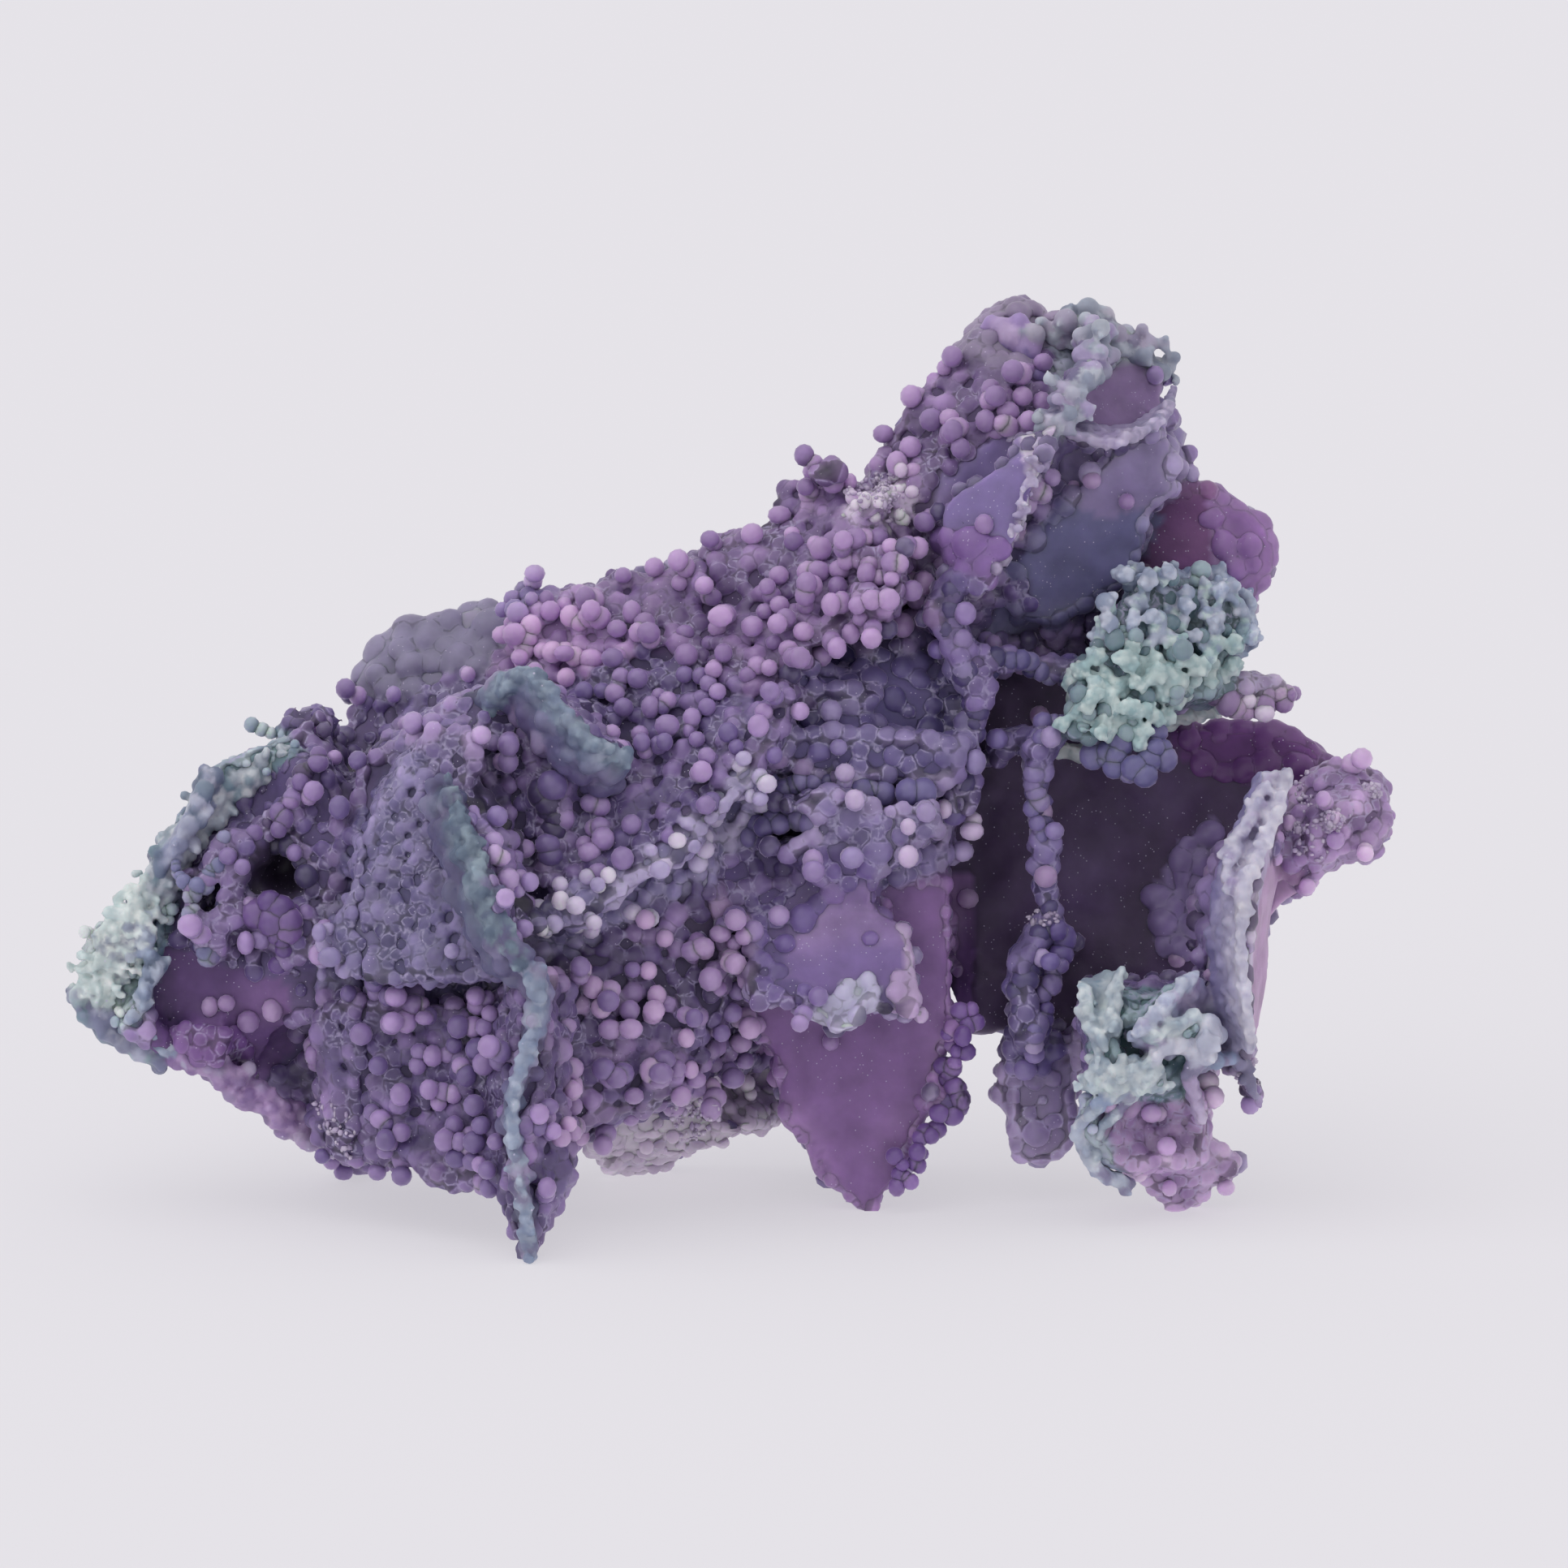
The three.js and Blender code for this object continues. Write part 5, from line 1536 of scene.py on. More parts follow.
CRESTS: tuple[Crest, ...] = (
    Crest("blade_crest", ((-28, 48.8, 17.2, 0.5), (-27.2, 46.2, 18.2, 0.6), (-26.4, 43.4, 19.5, 0.75),
          (-25.2, 40, 20.8, 0.8), (-23.9, 36.5, 21.7, 0.85), (-22.4, 33.5, 22.2, 0.75),
          (-21, 31.8, 22.2, 0.7)), Tint("3C4A5E", "5C6C82", "92A2AE"), Tint("423E5E", "646084", "8C86A6"),
          wobble=0.4, strands=2, spread_mm=0.4, rows=5, flare_mm=0.15, lean_mm=(-0.35, -0.1),
          base=Tint("3C385A", "66608A", "948CB0"), grains=1.2, grain_mm=(0.22, 0.45)),
    Crest("front_crest", ((-19.6, 31.2, 22, 0.8), (-19.3, 28, 21.8, 0.7), (-19.8, 24.5, 21.4, 0.65),
          (-21, 20.5, 21, 0.6), (-22, 16.5, 20.5, 0.65), (-21.7, 12.5, 20, 0.6), (-20.8, 8, 19.4, 0.6),
          (-20.5, 3.5, 18.8, 0.6), (-20.4, 1.2, 18.3, 0.5)), Tint("525C78", "8490AA", "B4BCCC"),
          GREY_LILAC, wobble=0.45, rows=4, flare_mm=0.1, base=PURPLE, grains=1.2, grain_mm=(0.22, 0.42)),
    Crest("upper_crest", ((-24.6, 57.2, 7, 0.5), (-23.5, 59.3, 8.6, 0.6), (-21.5, 60.6, 10.2, 0.6),
          (-20, 60.4, 10.8, 0.6), (-18, 58.2, 12.2, 0.65), (-16, 55.6, 13.2, 0.65),
          (-14.5, 53.6, 13.6, 0.6), (-12, 52.8, 12, 0.7), (-10.4, 52, 10.6, 0.8)), SLATE,
          Tint("525C78", "7E8AA2", "A6AEC0"), wobble=0.45, strands=2, spread_mm=0.25, rows=6,
          flare_mm=0.14, lean_mm=(-0.35, -0.4), base=PURPLE, grains=1.6, grain_mm=(0.22, 0.45)),
    Crest("upper_crest_arm", ((-24.4, 57.8, 7.4, 0.6), (-25, 56, 7.4, 0.6), (-24.2, 54.8, 7.4, 0.5)), SKY,
          TEAL, wobble=0.3),
    Crest("shelf_column", ((-18.6, 50, 8.5, 1.6), (-18, 46, 8.5, 1.5), (-18.4, 42.5, 9, 1.4)), PURPLE,
          step=0.7, wobble=0.25, melts=False),
    Crest("wing_crest", ((-59.7, 37, 0, 0.6), (-58.3, 40, 1, 0.7), (-56.7, 43, 1, 0.7),
          (-54.7, 45.8, 0.2, 0.7), (-52.3, 48.3, -0.5, 0.7), (-49, 50, -0.5, 0.7),
          (-45.4, 52.2, -1.5, 0.6)), Tint("74808F", "AAB2BE", "D4D8DC"), TEAL, wobble=0.6, strands=4,
          spread_mm=0.75, rows=3, base=GREY_LILAC, grains=1.6, grain_mm=(0.25, 0.5)),
    Crest("tip_lumps", ((-59.6, 39, 0.4, 0.5), (-61.6, 36, 0.6, 0.5), (-63.6, 33, 0.8, 0.5),
          (-65.2, 30.4, 0.8, 0.5), (-65.8, 29, 0.8, 0.5), (-64.4, 28.2, 1, 0.5), (-62.4, 30.6, 1, 0.5),
          (-61, 33.4, 1, 0.5), (-60.2, 36.4, 1, 0.5)), MINT, GREY_BLUE, wobble=0.9, strands=4,
          spread_mm=0.9, draped=True, grains=1.2, grain_mm=(0.2, 0.42)),
    Crest("tip_foot", ((-67.2, 27.6, -1, 0.6), (-64.4, 25, -1, 0.8), (-61.6, 23.2, -1, 0.8),
          (-58.6, 21.6, -1, 0.8)), Tint("525672", "8082A0", "B6B8CA"), TEAL, wobble=0.4, strands=2,
          spread_mm=0.4, rows=3, grains=1.0),
    Crest("wing_branch", ((-53.8, 50.4, 1.6, 0.9), (-54.6, 46.4, 2.6, 1.0), (-56.8, 43, 2.6, 0.9),
          (-58.6, 40.6, 2, 0.8)), Tint("626888", "9498B4", "C4C6D4"), SLATE, wobble=0.45, rows=2,
          grains=1.5, grain_mm=(0.3, 0.6)),
    Crest("under_lumps", ((-57, 21.8, 0, 0.7), (-54.2, 21, 0, 0.8), (-51.2, 19.4, -1, 0.8),
          (-48.6, 17.2, -2, 0.8), (-45.8, 15.2, -3, 0.8), (-43.2, 13, -3, 0.8)),
          Tint("5E4474", "8C70A2", "BCA2C8"), Tint("7A6A92", "AEA0BE", "D0C6D8"), wobble=0.5, strands=3,
          spread_mm=0.6, rows=2, grains=1.6, grain_mm=(0.3, 0.6)),
    Crest("wing_low_crest", ((-60.5, 35, 2, 0.9), (-59, 31, 3, 0.9), (-60, 28, 2.6, 0.8),
          (-61, 25.4, 1, 0.8), (-57.5, 22.6, 0, 0.8), (-54, 20.4, -0.5, 0.7)), SKY, SLATE, wobble=0.4,
          grains=2.5, grain_mm=(0.3, 0.55)),
    Crest("fork", ((-51.5, 44.2, 4, 1.0), (-52.6, 41.6, 4.3, 1.0), (-54.4, 39.2, 4.8, 1.0),
          (-54.9, 36.8, 4.8, 0.9), (-55.4, 35, 4.8, 1.0), (-54, 33, 4.8, 1.1), (-52.8, 31, 4.8, 1.1)),
          FORK_BLUE, step=0.8, wobble=0.25, melts=False),
    Crest("fork_side", ((-57, 41.2, 3.4, 0.6), (-55.1, 38.4, 4.6, 0.9)),
          FORK_BLUE, step=0.8, wobble=0.25, melts=False),
    Crest("wing_finger", ((-51.2, 42.2, 3.6, 1.0), (-50.4, 40.1, 4, 1.0), (-51, 38.2, 4.4, 1.1),
          (-51.7, 36.4, 4.8, 1.1), (-52.2, 33.7, 5, 1.0), (-53, 31.6, 5, 1.0)), BLUE_LILAC, PURPLE,
          step=0.8, wobble=0.25, melts=False),
    Crest("wing_strand", ((-42.1, 52.6, 3, 1.0), (-43, 50.8, 3.4, 1.1), (-43.9, 48.8, 3.8, 1.1),
          (-45.2, 47, 4, 1.2), (-47.2, 45.2, 4.4, 1.0), (-48.8, 43.6, 4.2, 1.0)),
          Tint("44345A", "8670A2", "B498C8"), step=0.7, wobble=0.3, melts=False),
    Crest("wing_lobe", ((-48.6, 36.4, 4.4, 1.6), (-46.4, 37, 4.6, 1.8), (-44.6, 36.4, 4.8, 1.6),
          (-45.8, 33.6, 5, 1.2), (-46, 31, 5, 1.1)), Tint("3E3058", "6E5490", "9A7CB4"), step=0.7,
          wobble=0.3, melts=False),
    Crest("ledge_fill", ((1.8, 44.2, 2.4, 1.3), (3.4, 46.2, 3, 1.4), (5.2, 44.6, 3.6, 1.5),
          (7.6, 46.2, 4.2, 1.5), (8.4, 44.4, 4.2, 1.2)), Tint("433C62", "72689A", "9C90BC"), step=0.95,
          wobble=0.3, melts=False),
    Crest("ledge_gap", ((3, 49.4, 3.2, 1.3), (6, 49.2, 3.4, 1.4), (9, 49.8, 3.8, 1.3),
          (12.6, 48.7, 3.6, 1.6), (15, 48.6, 3.8, 1.8), (17.6, 48.5, 4, 1.8), (20.6, 48.8, 3.8, 1.5)),
          Tint("443E66", "7A72A2", "A49AC4"), step=0.9, wobble=0.25, melts=False),
    Crest("hole_top", ((-49.2, 43.6, 3, 1.2), (-47.4, 43.4, 3, 1.4), (-45.6, 43.4, 3, 1.3),
          (-44.2, 41.8, 3.4, 1.3), (-43, 39.6, 3.6, 1.2)), Tint("332C48", "524A6E", "7A7096"), step=0.95,
          wobble=0.2, melts=False),
    Crest("long_column", ((22.5, 69, 1.5, 1.4), (21.2, 66.6, 1.5, 1.4), (23.2, 65, 1.5, 1.5),
          (23.5, 61.6, 1, 1.4), (25.4, 58.8, 0.8, 1.4), (24.7, 55.4, 0.5, 1.3), (23.8, 52, 0, 1.3),
          (23.8, 48.6, 0, 1.4), (23.8, 46.2, 0.4, 1.3)), Tint("453C68", "7A6AA2", "A692C0"), step=0.75,
          wobble=0.3, melts=False),
    Crest("side_arm", ((25, 61.4, 0, 1.4), (28.5, 62.5, -1, 1.3), (32, 61.4, -3, 1.2),
          (36, 60.5, -3, 1.2)), Tint("3C3660", "6A6294", "948CB6"), step=0.7, wobble=0.25, melts=False),
    Crest("cave_rib", ((36, 55.5, -1, 1.2), (32.4, 55.8, 0, 1.1), (31.8, 53, 0, 1.2), (31.6, 50, -1, 1.0),
          (31.8, 46, -2, 1.1), (32.4, 42, -3, 1.1), (32.8, 38, -3.5, 1.1), (32.6, 34.6, -4, 1.4),
          (30.6, 32, -3, 1.3), (29.6, 29, -2, 1.2), (30.3, 25.6, -2, 1.2), (31.3, 23, -2.5, 1.3)),
          Tint("4C446E", "8478AC", "B4A4CA"), step=0.75, wobble=0.3, melts=False),
    Crest("cave_finger", ((33.6, 34.4, -4, 1.3), (34.2, 31, -3.6, 1.2), (32.2, 28.4, -3, 1.1),
          (32, 24, -3, 1.2)), Tint("3E3462", "6E5E98", "9888B6"), step=0.8, wobble=0.2, melts=False),
    Crest("blade_knobs", ((24.2, 26.8, -3, 1.1), (23.4, 23.8, -3, 1.1), (22.8, 21.2, -4, 1.1),
          (22.6, 18.8, -4.5, 1.2), (23.8, 16, -4.5, 1.4), (21.4, 15, -4.5, 1.2), (20, 12.8, -4.5, 1.1),
          (18.6, 10.2, -4.5, 1.0), (17.2, 7.4, -4.5, 0.9)), Tint("54407A", "7E60A0", "A080BC"), step=0.9,
          wobble=0.3, strands=2, spread_mm=0.6, melts=False),
    Crest("pocket_rim", ((34.6, 85.6, -0.6, 0.5), (37.5, 84.5, 0.3, 0.5), (40, 84.6, 0.3, 0.5),
          (42.5, 85.6, -1.5, 0.5), (44.7, 87.2, -4, 0.5), (45.4, 89, -6, 0.4)), PALE, GREY_LILAC, rows=5,
          wobble=0.35, lean_mm=(0.1, 0.35), grains=1.2, grain_mm=(0.22, 0.4)),
    Crest("top_rib", ((33, 86, 0.8, 0.8), (34.6, 89, 0.4, 0.9), (36.4, 91.4, -1.2, 1.0),
          (37.6, 93.6, -3.6, 1.0), (37.6, 95.6, -8.6, 1.0)), GREY_BLUE, PALE, wobble=0.5, strands=2,
          spread_mm=0.8, rows=2, grains=1.4),
    Crest("far_top_crest", ((33.5, 96.8, -12, 1.2), (37, 97.2, -12.5, 1.3), (40, 95.8, -13, 1.2),
          (42.3, 94.6, -14, 1.0), (45, 92.6, -15, 0.8)), GREY_BLUE, Tint("7A7490", "AAA2B8", "CEC8D6"),
          wobble=0.7, strands=2, spread_mm=0.8, grains=1.6, grain_mm=(0.25, 0.5)),
    Crest("arm_tip", ((46, 59.6, -5, 1.5), (51, 58.9, -6, 1.4), (54.4, 58.6, -7, 1.3),
          (57.6, 59.4, -7.5, 1.1)), Tint("685678", "9E86AE", "C6ACCE"), step=0.6, wobble=0.4, strands=2,
          spread_mm=0.4, melts=False),
    Crest("lace_edge", ((33.3, 52.9, 1.8, 0.6), (37.1, 52.7, 2, 0.65), (41.7, 54.6, 2, 0.7),
          (45.8, 56.2, 2, 0.7), (50, 57.3, 1.6, 0.6), (51, 58.5, 1, 0.5)), MINT, wobble=0.5, rows=3,
          draped=True, grains=6),
    Crest("lace_arm", ((45, 71.7, 1, 0.5), (48, 70.5, 1, 0.5), (50.5, 71.4, 1, 0.5),
          (53.6, 68.6, 1.2, 0.5), (54, 64.5, 1.2, 0.5), (51.6, 62.4, 1, 0.5)), SKY, GREY_LILAC,
          wobble=0.7, rows=2, draped=True, grains=3),
    Crest("petal_a", ((36.1, 28.9, 6.4, 0.5), (36.5, 25.6, 8, 0.6), (37.8, 22.8, 9, 0.7)), PETAL, MINT,
          step=0.4, wobble=0.4, rows=5, flare_mm=0.1, lean_mm=(0.3, 0), grains=2.6, grain_mm=(0.25, 0.5)),
    Crest("petal_b", ((39.7, 30, 6.2, 0.5), (39.2, 27, 8, 0.6), (38.9, 24.2, 9, 0.7)), PETAL, MINT,
          step=0.4, wobble=0.4, rows=5, flare_mm=0.1, lean_mm=(-0.3, 0), grains=2.6,
          grain_mm=(0.25, 0.5)),
    Crest("petal_web", ((37.9, 28.4, 4.6, 1.2), (37.9, 25.6, 6, 1.3), (38.3, 23.4, 7.2, 1.1)),
          Tint("4E6474", "8498A8", "B4C2CC"), PETAL, step=0.4, wobble=0.2, rows=3),
    Crest("petal_c", ((47.2, 30, 7.4, 0.45), (45.6, 28.4, 8.6, 0.55), (43.4, 26.2, 9.6, 0.6),
          (41.2, 23.8, 10, 0.6)), Tint("747A9A", "A6ACC6", "D6DAE6"), PALE, step=0.4, wobble=0.35, rows=7,
          flare_mm=0.08, lean_mm=(0.3, -0.4), base=GREY_LILAC, grains=2.6, grain_mm=(0.25, 0.5)),
    Crest("petal_d", ((47.4, 26, 8, 0.5), (45.6, 24.9, 9.2, 0.6), (42.6, 23.4, 10, 0.6)), PETAL, PALE,
          step=0.4, wobble=0.35, rows=5, flare_mm=0.08, lean_mm=(0.1, -0.4), base=GREY_LILAC, grains=2.6,
          grain_mm=(0.25, 0.5)),
    Crest("petal_lumps", ((49.5, 24.2, 7.6, 1.3), (48.2, 23.1, 8, 1.2), (45.8, 22.9, 8.6, 1.0),
          (43.6, 22, 9, 0.8)), Tint("767C98", "BEC0D2", "E0E0EA"), step=0.6, rows=3, wobble=0.45,
          grains=2.4, grain_mm=(0.25, 0.5)),
    Crest("petal_mouth", ((37.4, 21.8, 8.8, 0.5), (39.4, 20.4, 9.2, 0.5), (42.4, 20.4, 8.6, 0.5),
          (43.6, 19, 8, 0.5), (40, 18.9, 8.4, 0.5), (36.6, 19.2, 8, 0.5)), PETAL, MINT, wobble=0.9,
          strands=2, spread_mm=0.5, rows=2, grains=3),
    Crest("petal_low", ((40.4, 18.4, 8, 0.6), (37.8, 17, 7.4, 0.6), (35.9, 15, 6.4, 0.6)),
          LOW_PETAL, SKY, rows=4, wobble=0.4, grains=1.6),
    Crest("petal_low_back", ((41, 17.4, 6.8, 0.6), (38.8, 15.4, 6, 0.6), (37, 13, 5, 0.6),
          (37.4, 10.6, 4.4, 0.6)), LOW_PETAL, GREY_LILAC, rows=4, wobble=0.4, grains=1.2),
    Crest("petal_side", ((51.6, 21.6, 4.4, 0.7), (48.4, 21.2, 6.4, 0.8), (46.4, 19.6, 7.2, 0.7)),
          GREY_LILAC, SKY, rows=3, wobble=0.3, grains=1.0),
    Crest("lobe_rim", ((35.9, 15, 6.4, 0.6), (35.8, 12.8, 5.4, 0.6), (37.1, 10.4, 4.6, 0.65),
          (39, 9, 3.6, 0.6), (41, 8.4, 3, 0.6)), Tint("6E7692", "AAB2C6", "DEE2E8"), GREY_LILAC,
          wobble=0.4, rows=3, grains=1.2),
    Crest("low_ridge", ((46.8, 19.6, 6.4, 0.6), (47.6, 17.2, 6, 0.7), (48.4, 15, 5.4, 0.6)),
          Tint("7A6A94", "B4A2C6", "D6CADF"), wobble=0.3, rows=3),
    Crest("blade_edge", ((56.9, 50.2, 4.6, 0.6), (55.9, 47.2, 6.6, 0.6), (55, 44, 8, 0.6),
          (52.9, 40.1, 9.4, 0.6), (52.4, 36.9, 9.8, 0.6), (52.1, 33.6, 9.6, 0.55), (52.6, 27, 8.4, 0.5),
          (53.3, 22.5, 6.6, 0.5)), Tint("8A88A4", "BEBAD0", "E2DEE8"), rows=7, wobble=0.3, flare_mm=0.04,
          lean_mm=(-0.42, 0), base=Tint("5E5688", "8C82B4", "B2A8CE"), grains=2.4, grain_mm=(0.25, 0.5)),
    Crest("blade_inner_edge", ((56.2, 50.3, 4.6, 0.6), (54.6, 49, 5.6, 0.6), (52.8, 45.4, 7, 0.7),
          (51.2, 43.2, 7.8, 0.7), (50.6, 40.8, 8.4, 0.6), (51.2, 38.2, 9, 0.5)),
          Tint("7E7C9C", "B2AEC8", "DAD6E4"), PALE, rows=5, wobble=0.35, lean_mm=(0.15, 0), grains=2.5,
          grain_mm=(0.22, 0.45)),
    Crest("low_spike", ((52.6, 21.4, 4, 0.7), (53.4, 18.8, 2, 0.6), (54.4, 16.6, 0.8, 0.4)), GREY_LILAC,
          PINK, wobble=0.4),
    Crest("fin_lobe", ((27, 96.4, -0.4, 1.1), (28.6, 95.9, -0.2, 1.3), (30.2, 94.6, -0.4, 1.3),
          (30.8, 92.6, -0.6, 1.1)), Tint("74649A", "A68EC2", "C8B2D6"), step=0.6, wobble=0.35, strands=3,
          spread_mm=0.7, draped=True),
    Crest("blade_teeth", ((28.4, 85.4, 0.2, 0.4), (30.6, 85.6, 0.2, 0.45), (31.6, 84, 0.3, 0.45),
          (31.2, 82, 0.3, 0.45), (30.6, 80, 0.3, 0.45), (30, 78, 0.3, 0.45), (29.3, 76.2, 0.3, 0.45),
          (28.5, 74.8, 0.3, 0.4)), Tint("8C80AC", "BCB0CE", "E0D8E6"), PALE, step=0.7, wobble=0.9,
          draped=True, grains=1.0),
    Crest("arm_low", ((51.6, 57.6, -6, 1.1), (54, 57, -6.6, 1.2), (57.8, 58.8, -7.4, 1.1)),
          Tint("685678", "9A80AC", "C2A6CC"), step=0.7, wobble=0.3, melts=False),
    Crest("lace_drops", ((38.2, 53.2, 0.2, 1.3), (40, 52, 0.6, 1.5), (41.4, 50.8, 0.8, 1.5),
          (43, 52.4, 0.4, 1.5), (45, 54.4, 0, 1.3)), Tint("464672", "706C9A", "9C92BC"), step=0.8,
          wobble=0.3, strands=3, spread_mm=0.8, melts=False),
)


@dataclass
class Lace:
    """The blue-green lace on the right: knobbly clumps with beaded rims, thin walls and dark holes.

    Missing is the share of the walls that are left out. Above turn_v_mm the lace has its high tint.
    """

    surface: Surface
    random: Random
    outline: Outline = (
        (34.5, 53.2), (34.4, 57), (36.5, 62), (37.5, 66), (40, 70), (43, 72), (46, 70.6), (50.5, 71.5),
        (54, 68), (52.5, 63.5), (50.5, 60), (47, 58.4), (44, 56.2), (39, 53.6))
    out_mm: tuple[float, float] = (-8.0, 12.0)
    tries: int = 60_000
    gap_mm: float = 1.2
    lump_mm: tuple[float, float] = (0.45, 1.15)
    wall_mm: float = 0.45
    height_mm: tuple[float, float] = (0.1, 2.6)
    missing: float = 0.35
    grains_per_lump: int = 12
    grains_per_ball: float = 1.4
    low_grain_mm: tuple[float, float] = (0.22, 0.42)
    high_grain_mm: tuple[float, float] = (0.25, 0.5)
    edge_grain_mm: tuple[float, float] = (0.16, 0.32)
    turn_v_mm: float = 64.0
    low_tint: Tint = Tint("58868E", "9AB6B9", "D6E2DF")
    high_tint: Tint = Tint("667892", "98A2BA", "C8CCDA")

    def bunch(self) -> Bunch:
        """Grows clumps on the bed, walls between neighbours, and grains on both.

        Returns:
            All their balls.
        """
        bed = Zone("lace", self.outline, SMOOTH, self.low_tint, out_mm=self.out_mm)
        points, normals = self.surface.sample(self.tries, self.random)
        toward = normals @ TOWARD_VIEWER > 0.15
        inside = np.flatnonzero(bed.holds(FACE.to_face(points)) & toward)
        knots = inside[spread_out(points[inside], np.full(len(inside), self.gap_mm * MM))]
        feet = points[knots]
        lean = self.random.standard_normal((len(knots), 3))
        up = unit(normals[knots] + 0.8 * TOWARD_VIEWER + 0.3 * lean)
        wave = smooth_step(-0.8, 0.8, Patches.LACE_HEIGHT.at(feet))
        height = (self.height_mm[0] + (self.height_mm[1] - self.height_mm[0]) * wave) * MM
        radii = self.random.uniform(*self.lump_mm, len(knots)) * MM
        tops = self.tinted(feet + up * height[:, None], up, radii, np.ones(len(knots)))
        stalks = self.tinted(feet + up * height[:, None] * 0.4, up, radii * 0.8, np.full(len(knots), 0.2))
        walls, edge = self.walls(feet, up, height)
        return Bunch.joined([tops, stalks, walls, *self.rims(tops, edge)])

    def walls(self, feet: Rows, up: Rows, height: Rows) -> tuple[Bunch, Bunch]:
        """Grows thin walls between neighbouring clumps.

        Args:
            feet: Where the clumps stand, as rows in metres.
            up: The way that each grows.
            height: How high each is, in metres.

        Returns:
            The walls' balls, and those along the walls' edges.
        """
        tree = tree_of(feet)
        near = ((i, j) for i, foot in enumerate(feet) for _, j, _ in tree.find_n(foot, 4) if i != j)
        pairs = {tuple(sorted(pair)) for pair in near}
        places, levels = [], []
        for i, j in sorted(pairs):
            if self.random.random() < self.missing:
                continue
            steps = max(2, int(np.linalg.norm(feet[j] - feet[i]) / (self.wall_mm * 1.1 * MM)))
            for share in (np.arange(steps) + 0.5) / steps:
                foot, lean, top = (blend(each[i], each[j], share) for each in (feet, up, height))
                top *= self.random.uniform(0.75, 1.05)
                rows = max(2, round(top / (self.wall_mm * 1.2 * MM)))
                places += [foot + lean * top * row / (rows - 1) for row in range(rows)]
                levels += [row / (rows - 1) for row in range(rows)]
        level = np.array(levels)
        centres = np.array(places) + self.random.standard_normal((len(level), 3)) * 0.15 * MM
        radii = self.wall_mm * self.random.uniform(0.75, 1.2, len(level)) * MM
        walls = self.tinted(centres, facing_viewer(len(level)), radii, level)
        return walls, walls.part(level > 0.99)

    def rims(self, tops: Bunch, edge: Bunch) -> list[Bunch]:
        """Beads the clumps and the walls' edges with grains.

        Args:
            tops: The clumps' tops.
            edge: The balls along the walls' edges.

        Returns:
            The grains of the low clumps, of the high clumps and of the walls.
        """
        high = FACE.to_face(tops.centres)[:, 1] >= self.turn_v_mm
        low_tops, high_tops = tops.part(~high), tops.part(high)
        low_count = int(len(low_tops) * self.grains_per_lump)
        high_count = int(len(high_tops) * self.grains_per_lump * 0.6)
        edge_count = int(len(edge) * self.grains_per_ball)
        return [
            low_tops.grains(low_count, self.low_grain_mm, self.low_tint, self.random, -0.1, 0.75),
            high_tops.grains(high_count, self.high_grain_mm, self.high_tint, self.random, -0.1, 0.9),
            edge.grains(edge_count, self.edge_grain_mm, self.low_tint, self.random),
        ]

    def tinted(self, centres: Rows, facing: Rows, radii: Rows, level: Rows) -> Bunch:
        """Colours balls by how high in the lace they are and by their place on it: the lower they sit, the
        more painted shade they get.

        Args:
            centres: Rows in metres.
            facing: The outward directions.
            radii: The radii in metres.
            level: From 0 at the bed to 1 at the top.

        Returns:
            The balls.
        """
        v = FACE.to_face(centres)[:, 1]
        low = (1 - smooth_step(60, 68, v + 3 * Patches.LACE_TINT.at(centres)))[:, None]
        tints = zip(self.low_tint.linear()[:2], self.high_tint.linear())
        deep, pale = (a * low + b * (1 - low) for a, b in tints)
        # Painted shade: balls low in the lace fall toward a darkened shade colour, and each has a darker
        # far side.
        light = blend(deep * 0.6, pale, level[:, None] ** 1.3)
        return Bunch(centres, facing, radii, light * 0.6, light)


@dataclass
class Pearls:
    """Single grapes that stand proud on smooth faces, each as u, v and radius in mm."""

    surface: Surface
    places: tuple[tuple[float, float, float], ...] = (
        (26, 76.1, 1.05), (29.8, 75, 1.1), (37.2, 80.8, 1.0), (35.4, 80.2, 0.7), (40.8, 78.6, 0.9),
        (32, 56.6, 1.2), (32.2, 46.6, 1.1), (32.4, 40, 1.2), (24.6, 37.6, 1.1), (46.3, 31.3, 0.9),
        (49.3, 29.9, 0.75), (22.8, 42.3, 0.8), (-53.4, 26.6, 1.0), (-51.7, 27, 1.0), (-49.5, 25.1, 1.2),
        (-47, 26.3, 1.2), (-3.4, 33.2, 1.1), (-1.3, 28.6, 1.0), (10.3, 23, 1.0), (0.8, 25.4, 1.1))
    tint: Tint = Tint("5C4876", "9A7EB0", "C2A8CE")
    proud_mm: float = 0.35

    def bunch(self, random: Random) -> Bunch:
        """Sets the grapes on the body's front.

        Args:
            random: The seeded generator.

        Returns:
            The grapes.
        """
        u, v, radii = np.array(self.places).T
        out = self.surface.front_out(np.column_stack([u, v])) + self.proud_mm
        deep, pale, proud = self.tint.linear()
        light = blend(pale, proud, random.random((len(u), 1)))
        centres = FACE.to_frame(np.column_stack([u, v, out]))
        return Bunch(centres, facing_viewer(len(u)), radii * MM, blend(deep, light, 0.3), light, 1.0, 0.2)


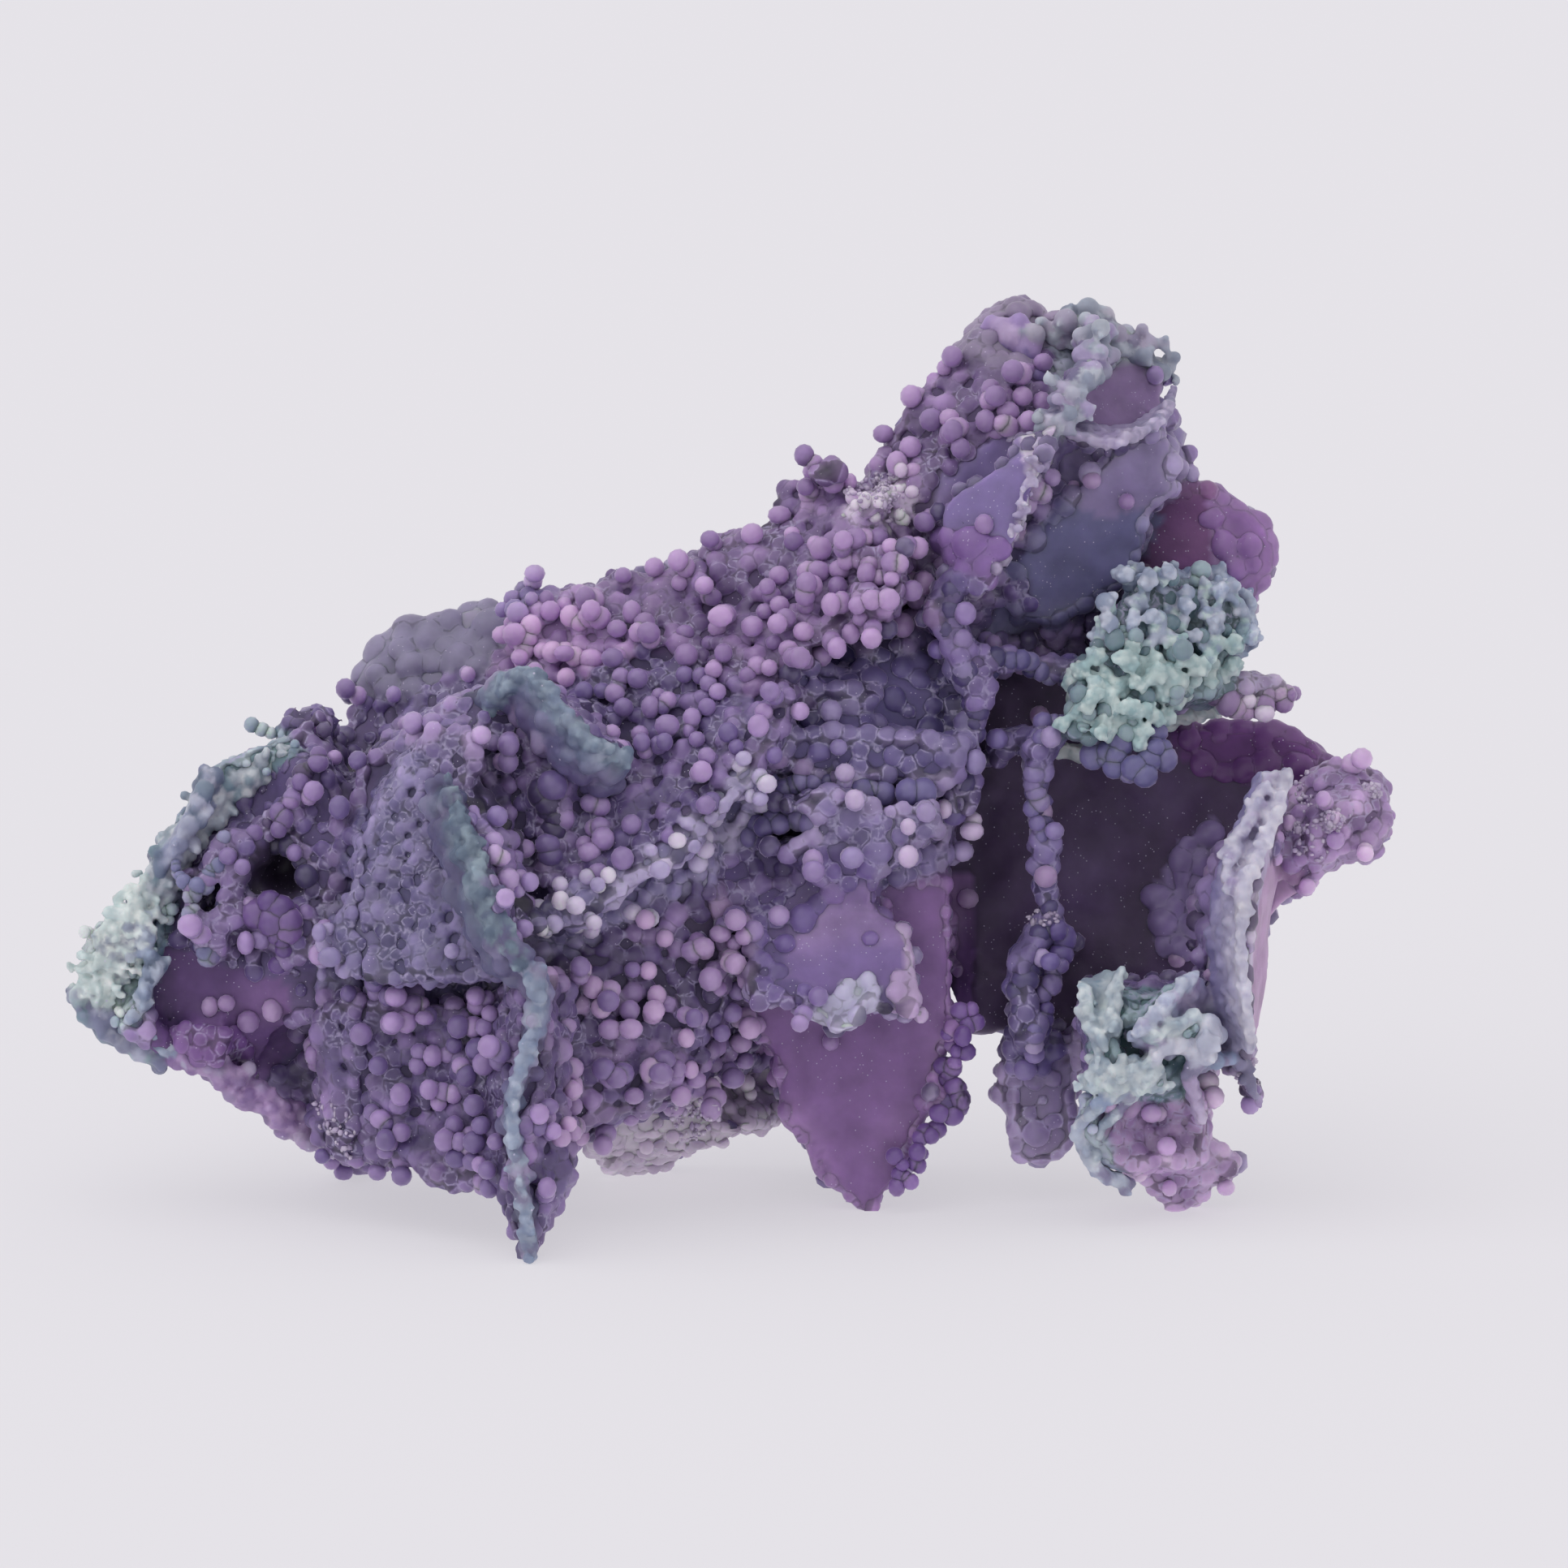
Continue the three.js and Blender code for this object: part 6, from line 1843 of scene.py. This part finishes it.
@dataclass
class Sugar:
    """Quartz sugar: tiny crystals on a few spots, each given as u, v and radius in mm."""

    random: Random
    spots: tuple[tuple[float, float, float], ...] = (
        (14, 79.5, 1.8), (16.4, 78, 1.6), (15.6, 81, 1.4), (59.4, 48.6, 1.4), (60.6, 46, 1.5),
        (62.6, 46.4, 1.0), (58.6, 43.4, 1.3), (60.8, 42.6, 1.1), (65.6, 48.4, 1.0), (-41, 15.5, 1.6),
        (-39, 13, 1.4), (-4, 15.5, 2.2), (53.6, 20, 1.6), (32.4, 35.6, 1.2))
    farthest_out_mm: float = -16.0
    per_mm2: float = 9.0
    size_mm: tuple[float, float] = (0.15, 0.34)
    tint: Tint = Tint("7E7096", "AC9CBC", "D6CADF")

    def bunch(self, grapes: Bunch) -> Bunch:
        """Sets grains on the grapes of each spot.

        Args:
            grapes: The grapes that carry them.

        Returns:
            The grains.
        """
        drawn = FACE.to_face(grapes.centres)
        shown = (grapes.facing @ TOWARD_VIEWER > 0.1) & (drawn[:, 2] > self.farthest_out_mm)
        grown = []
        for u, v, radius in self.spots:
            near = np.flatnonzero(shown & (np.hypot(drawn[:, 0] - u, drawn[:, 1] - v) < radius))
            if len(near) == 0:
                LOG.warning("no grapes carry the sugar at %s, %s", u, v)
                continue
            count = int(math.pi * radius**2 * self.per_mm2)
            grown.append(grapes.part(near).grains(count, self.size_mm, self.tint, self.random))
        return Bunch.joined(grown)


@dataclass
class Studio:
    """A pale floor, soft light and a long lens at the photograph's viewing angle."""

    lens_mm: float = 300.0
    sensor_mm: float = 36.0
    floor_hex: str = "979699"
    floor_glow_hex: str = "BFBDC1"
    floor_radius: float = 6.0
    room_hex: str = "F4F2F5"
    room_strength: float = 0.72
    overhead_strength: float = 0.75
    overhead_spread_deg: float = 80.0
    overhead_tilt_deg: tuple[float, float] = (18.0, -22.0)

    def camera(self) -> None:
        """Sets the camera square to the face, so that the frame is as wide as the photograph."""
        frame_mm = PHOTO_WIDTH_PX / PHOTO_PX_PER_MM
        middle = PHOTO_WIDTH_PX / 2
        u = (middle - PHOTO_ZERO_PX[0]) / PHOTO_PX_PER_MM
        v = (PHOTO_ZERO_PX[1] - middle) / PHOTO_PX_PER_MM
        away = frame_mm * self.lens_mm / self.sensor_mm
        data = bpy.data.cameras.new("camera")
        data.lens = self.lens_mm
        data.sensor_width = self.sensor_mm
        data.clip_end = 40.0
        camera = bpy.data.objects.new("camera", data)
        camera.location = FACE.to_frame(np.array([[u, v, away]]))[0]
        camera.rotation_euler = (math.radians(90 - FACE.lean_deg), 0, 0)
        bpy.context.scene.collection.objects.link(camera)
        bpy.context.scene.camera = camera

    def floor(self) -> None:
        """Lays the pale floor under the specimen. It is lit from below, which keeps the shadow faint."""
        work = bmesh.new()
        bmesh.ops.create_circle(work, cap_ends=True, segments=64, radius=self.floor_radius)
        mesh = bpy.data.meshes.new("floor")
        work.to_mesh(mesh)
        work.free()
        material = bpy.data.materials.new("lit_opal_acrylic_floor")
        material.use_nodes = True
        shader = next(n for n in material.node_tree.nodes if n.type == "BSDF_PRINCIPLED")
        shader.inputs["Base Color"].default_value = (*linear(self.floor_hex), 1.0)
        shader.inputs["Emission Color"].default_value = (*linear(self.floor_glow_hex), 1.0)
        shader.inputs["Emission Strength"].default_value = 1.0
        shader.inputs["Roughness"].default_value = 0.95
        shader.inputs["Specular IOR Level"].default_value = 0.0
        mesh.materials.append(material)
        floor = bpy.data.objects.new("floor", mesh)
        bpy.context.scene.collection.objects.link(floor)

    def build(self) -> None:
        """Sets up the whole studio: an even bright room and a wide soft light overhead."""
        self.camera()
        self.floor()
        world = bpy.data.worlds.new("soft_room")
        bpy.context.scene.world = world
        world.use_nodes = True
        background = next(n for n in world.node_tree.nodes if n.type == "BACKGROUND")
        background.inputs["Color"].default_value = (*linear(self.room_hex), 1.0)
        background.inputs["Strength"].default_value = self.room_strength
        data = bpy.data.lights.new("overhead", "SUN")
        data.energy = self.overhead_strength
        data.angle = math.radians(self.overhead_spread_deg)
        lamp = bpy.data.objects.new("overhead", data)
        lamp.rotation_euler = (*(math.radians(t) for t in self.overhead_tilt_deg), 0)
        bpy.context.scene.collection.objects.link(lamp)
        view = bpy.context.scene.view_settings
        view.view_transform = "Standard"
        view.look = "None"


def main() -> None:
    """Builds the specimen and its studio."""
    logging.basicConfig(level=logging.INFO, format="%(name)s: %(message)s")
    Studio().build()
    random = np.random.default_rng(SEED)
    body = GrownBody()
    mesh, surface = body.surface()
    body.build(mesh, surface, BODY_FINISH.build())
    fins, chains, crest_grains = crests_grown(surface, random)
    front, back, raised = Grapes(surface, random, fins).grow()
    grape_skin, crest_skin, sugar_skin = GRAPE_FINISH.build(), CREST_FINISH.build(), SUGAR_FINISH.build()
    front.run_together("grape_crust", CRUST_FINISH.build(), random, voxel_mm=0.36, slabs=6, kept=0.56)
    raised = Bunch.joined([raised, Pearls(surface).bunch(random)])
    raised.single("grapes_raised", BallShape.FINE, grape_skin, random)
    back.single("grapes_back", BallShape.PLAIN, grape_skin, random)
    crests = Bunch.joined([fins, crest_grains])
    crests.run_together("crests", crest_skin, random, voxel_mm=0.26, slabs=2, kept=0.62)
    chains.single("chains", BallShape.FINE, grape_skin, random)
    Lace(surface, random).bunch().run_together("lace", crest_skin, random, voxel_mm=0.21)
    sugar = Sugar(random).bunch(Bunch.joined([front, raised]))
    sugar.single("sugar", BallShape.GRAIN, sugar_skin, random, out_of_round=0.3)


if __name__ == "__main__":
    main()
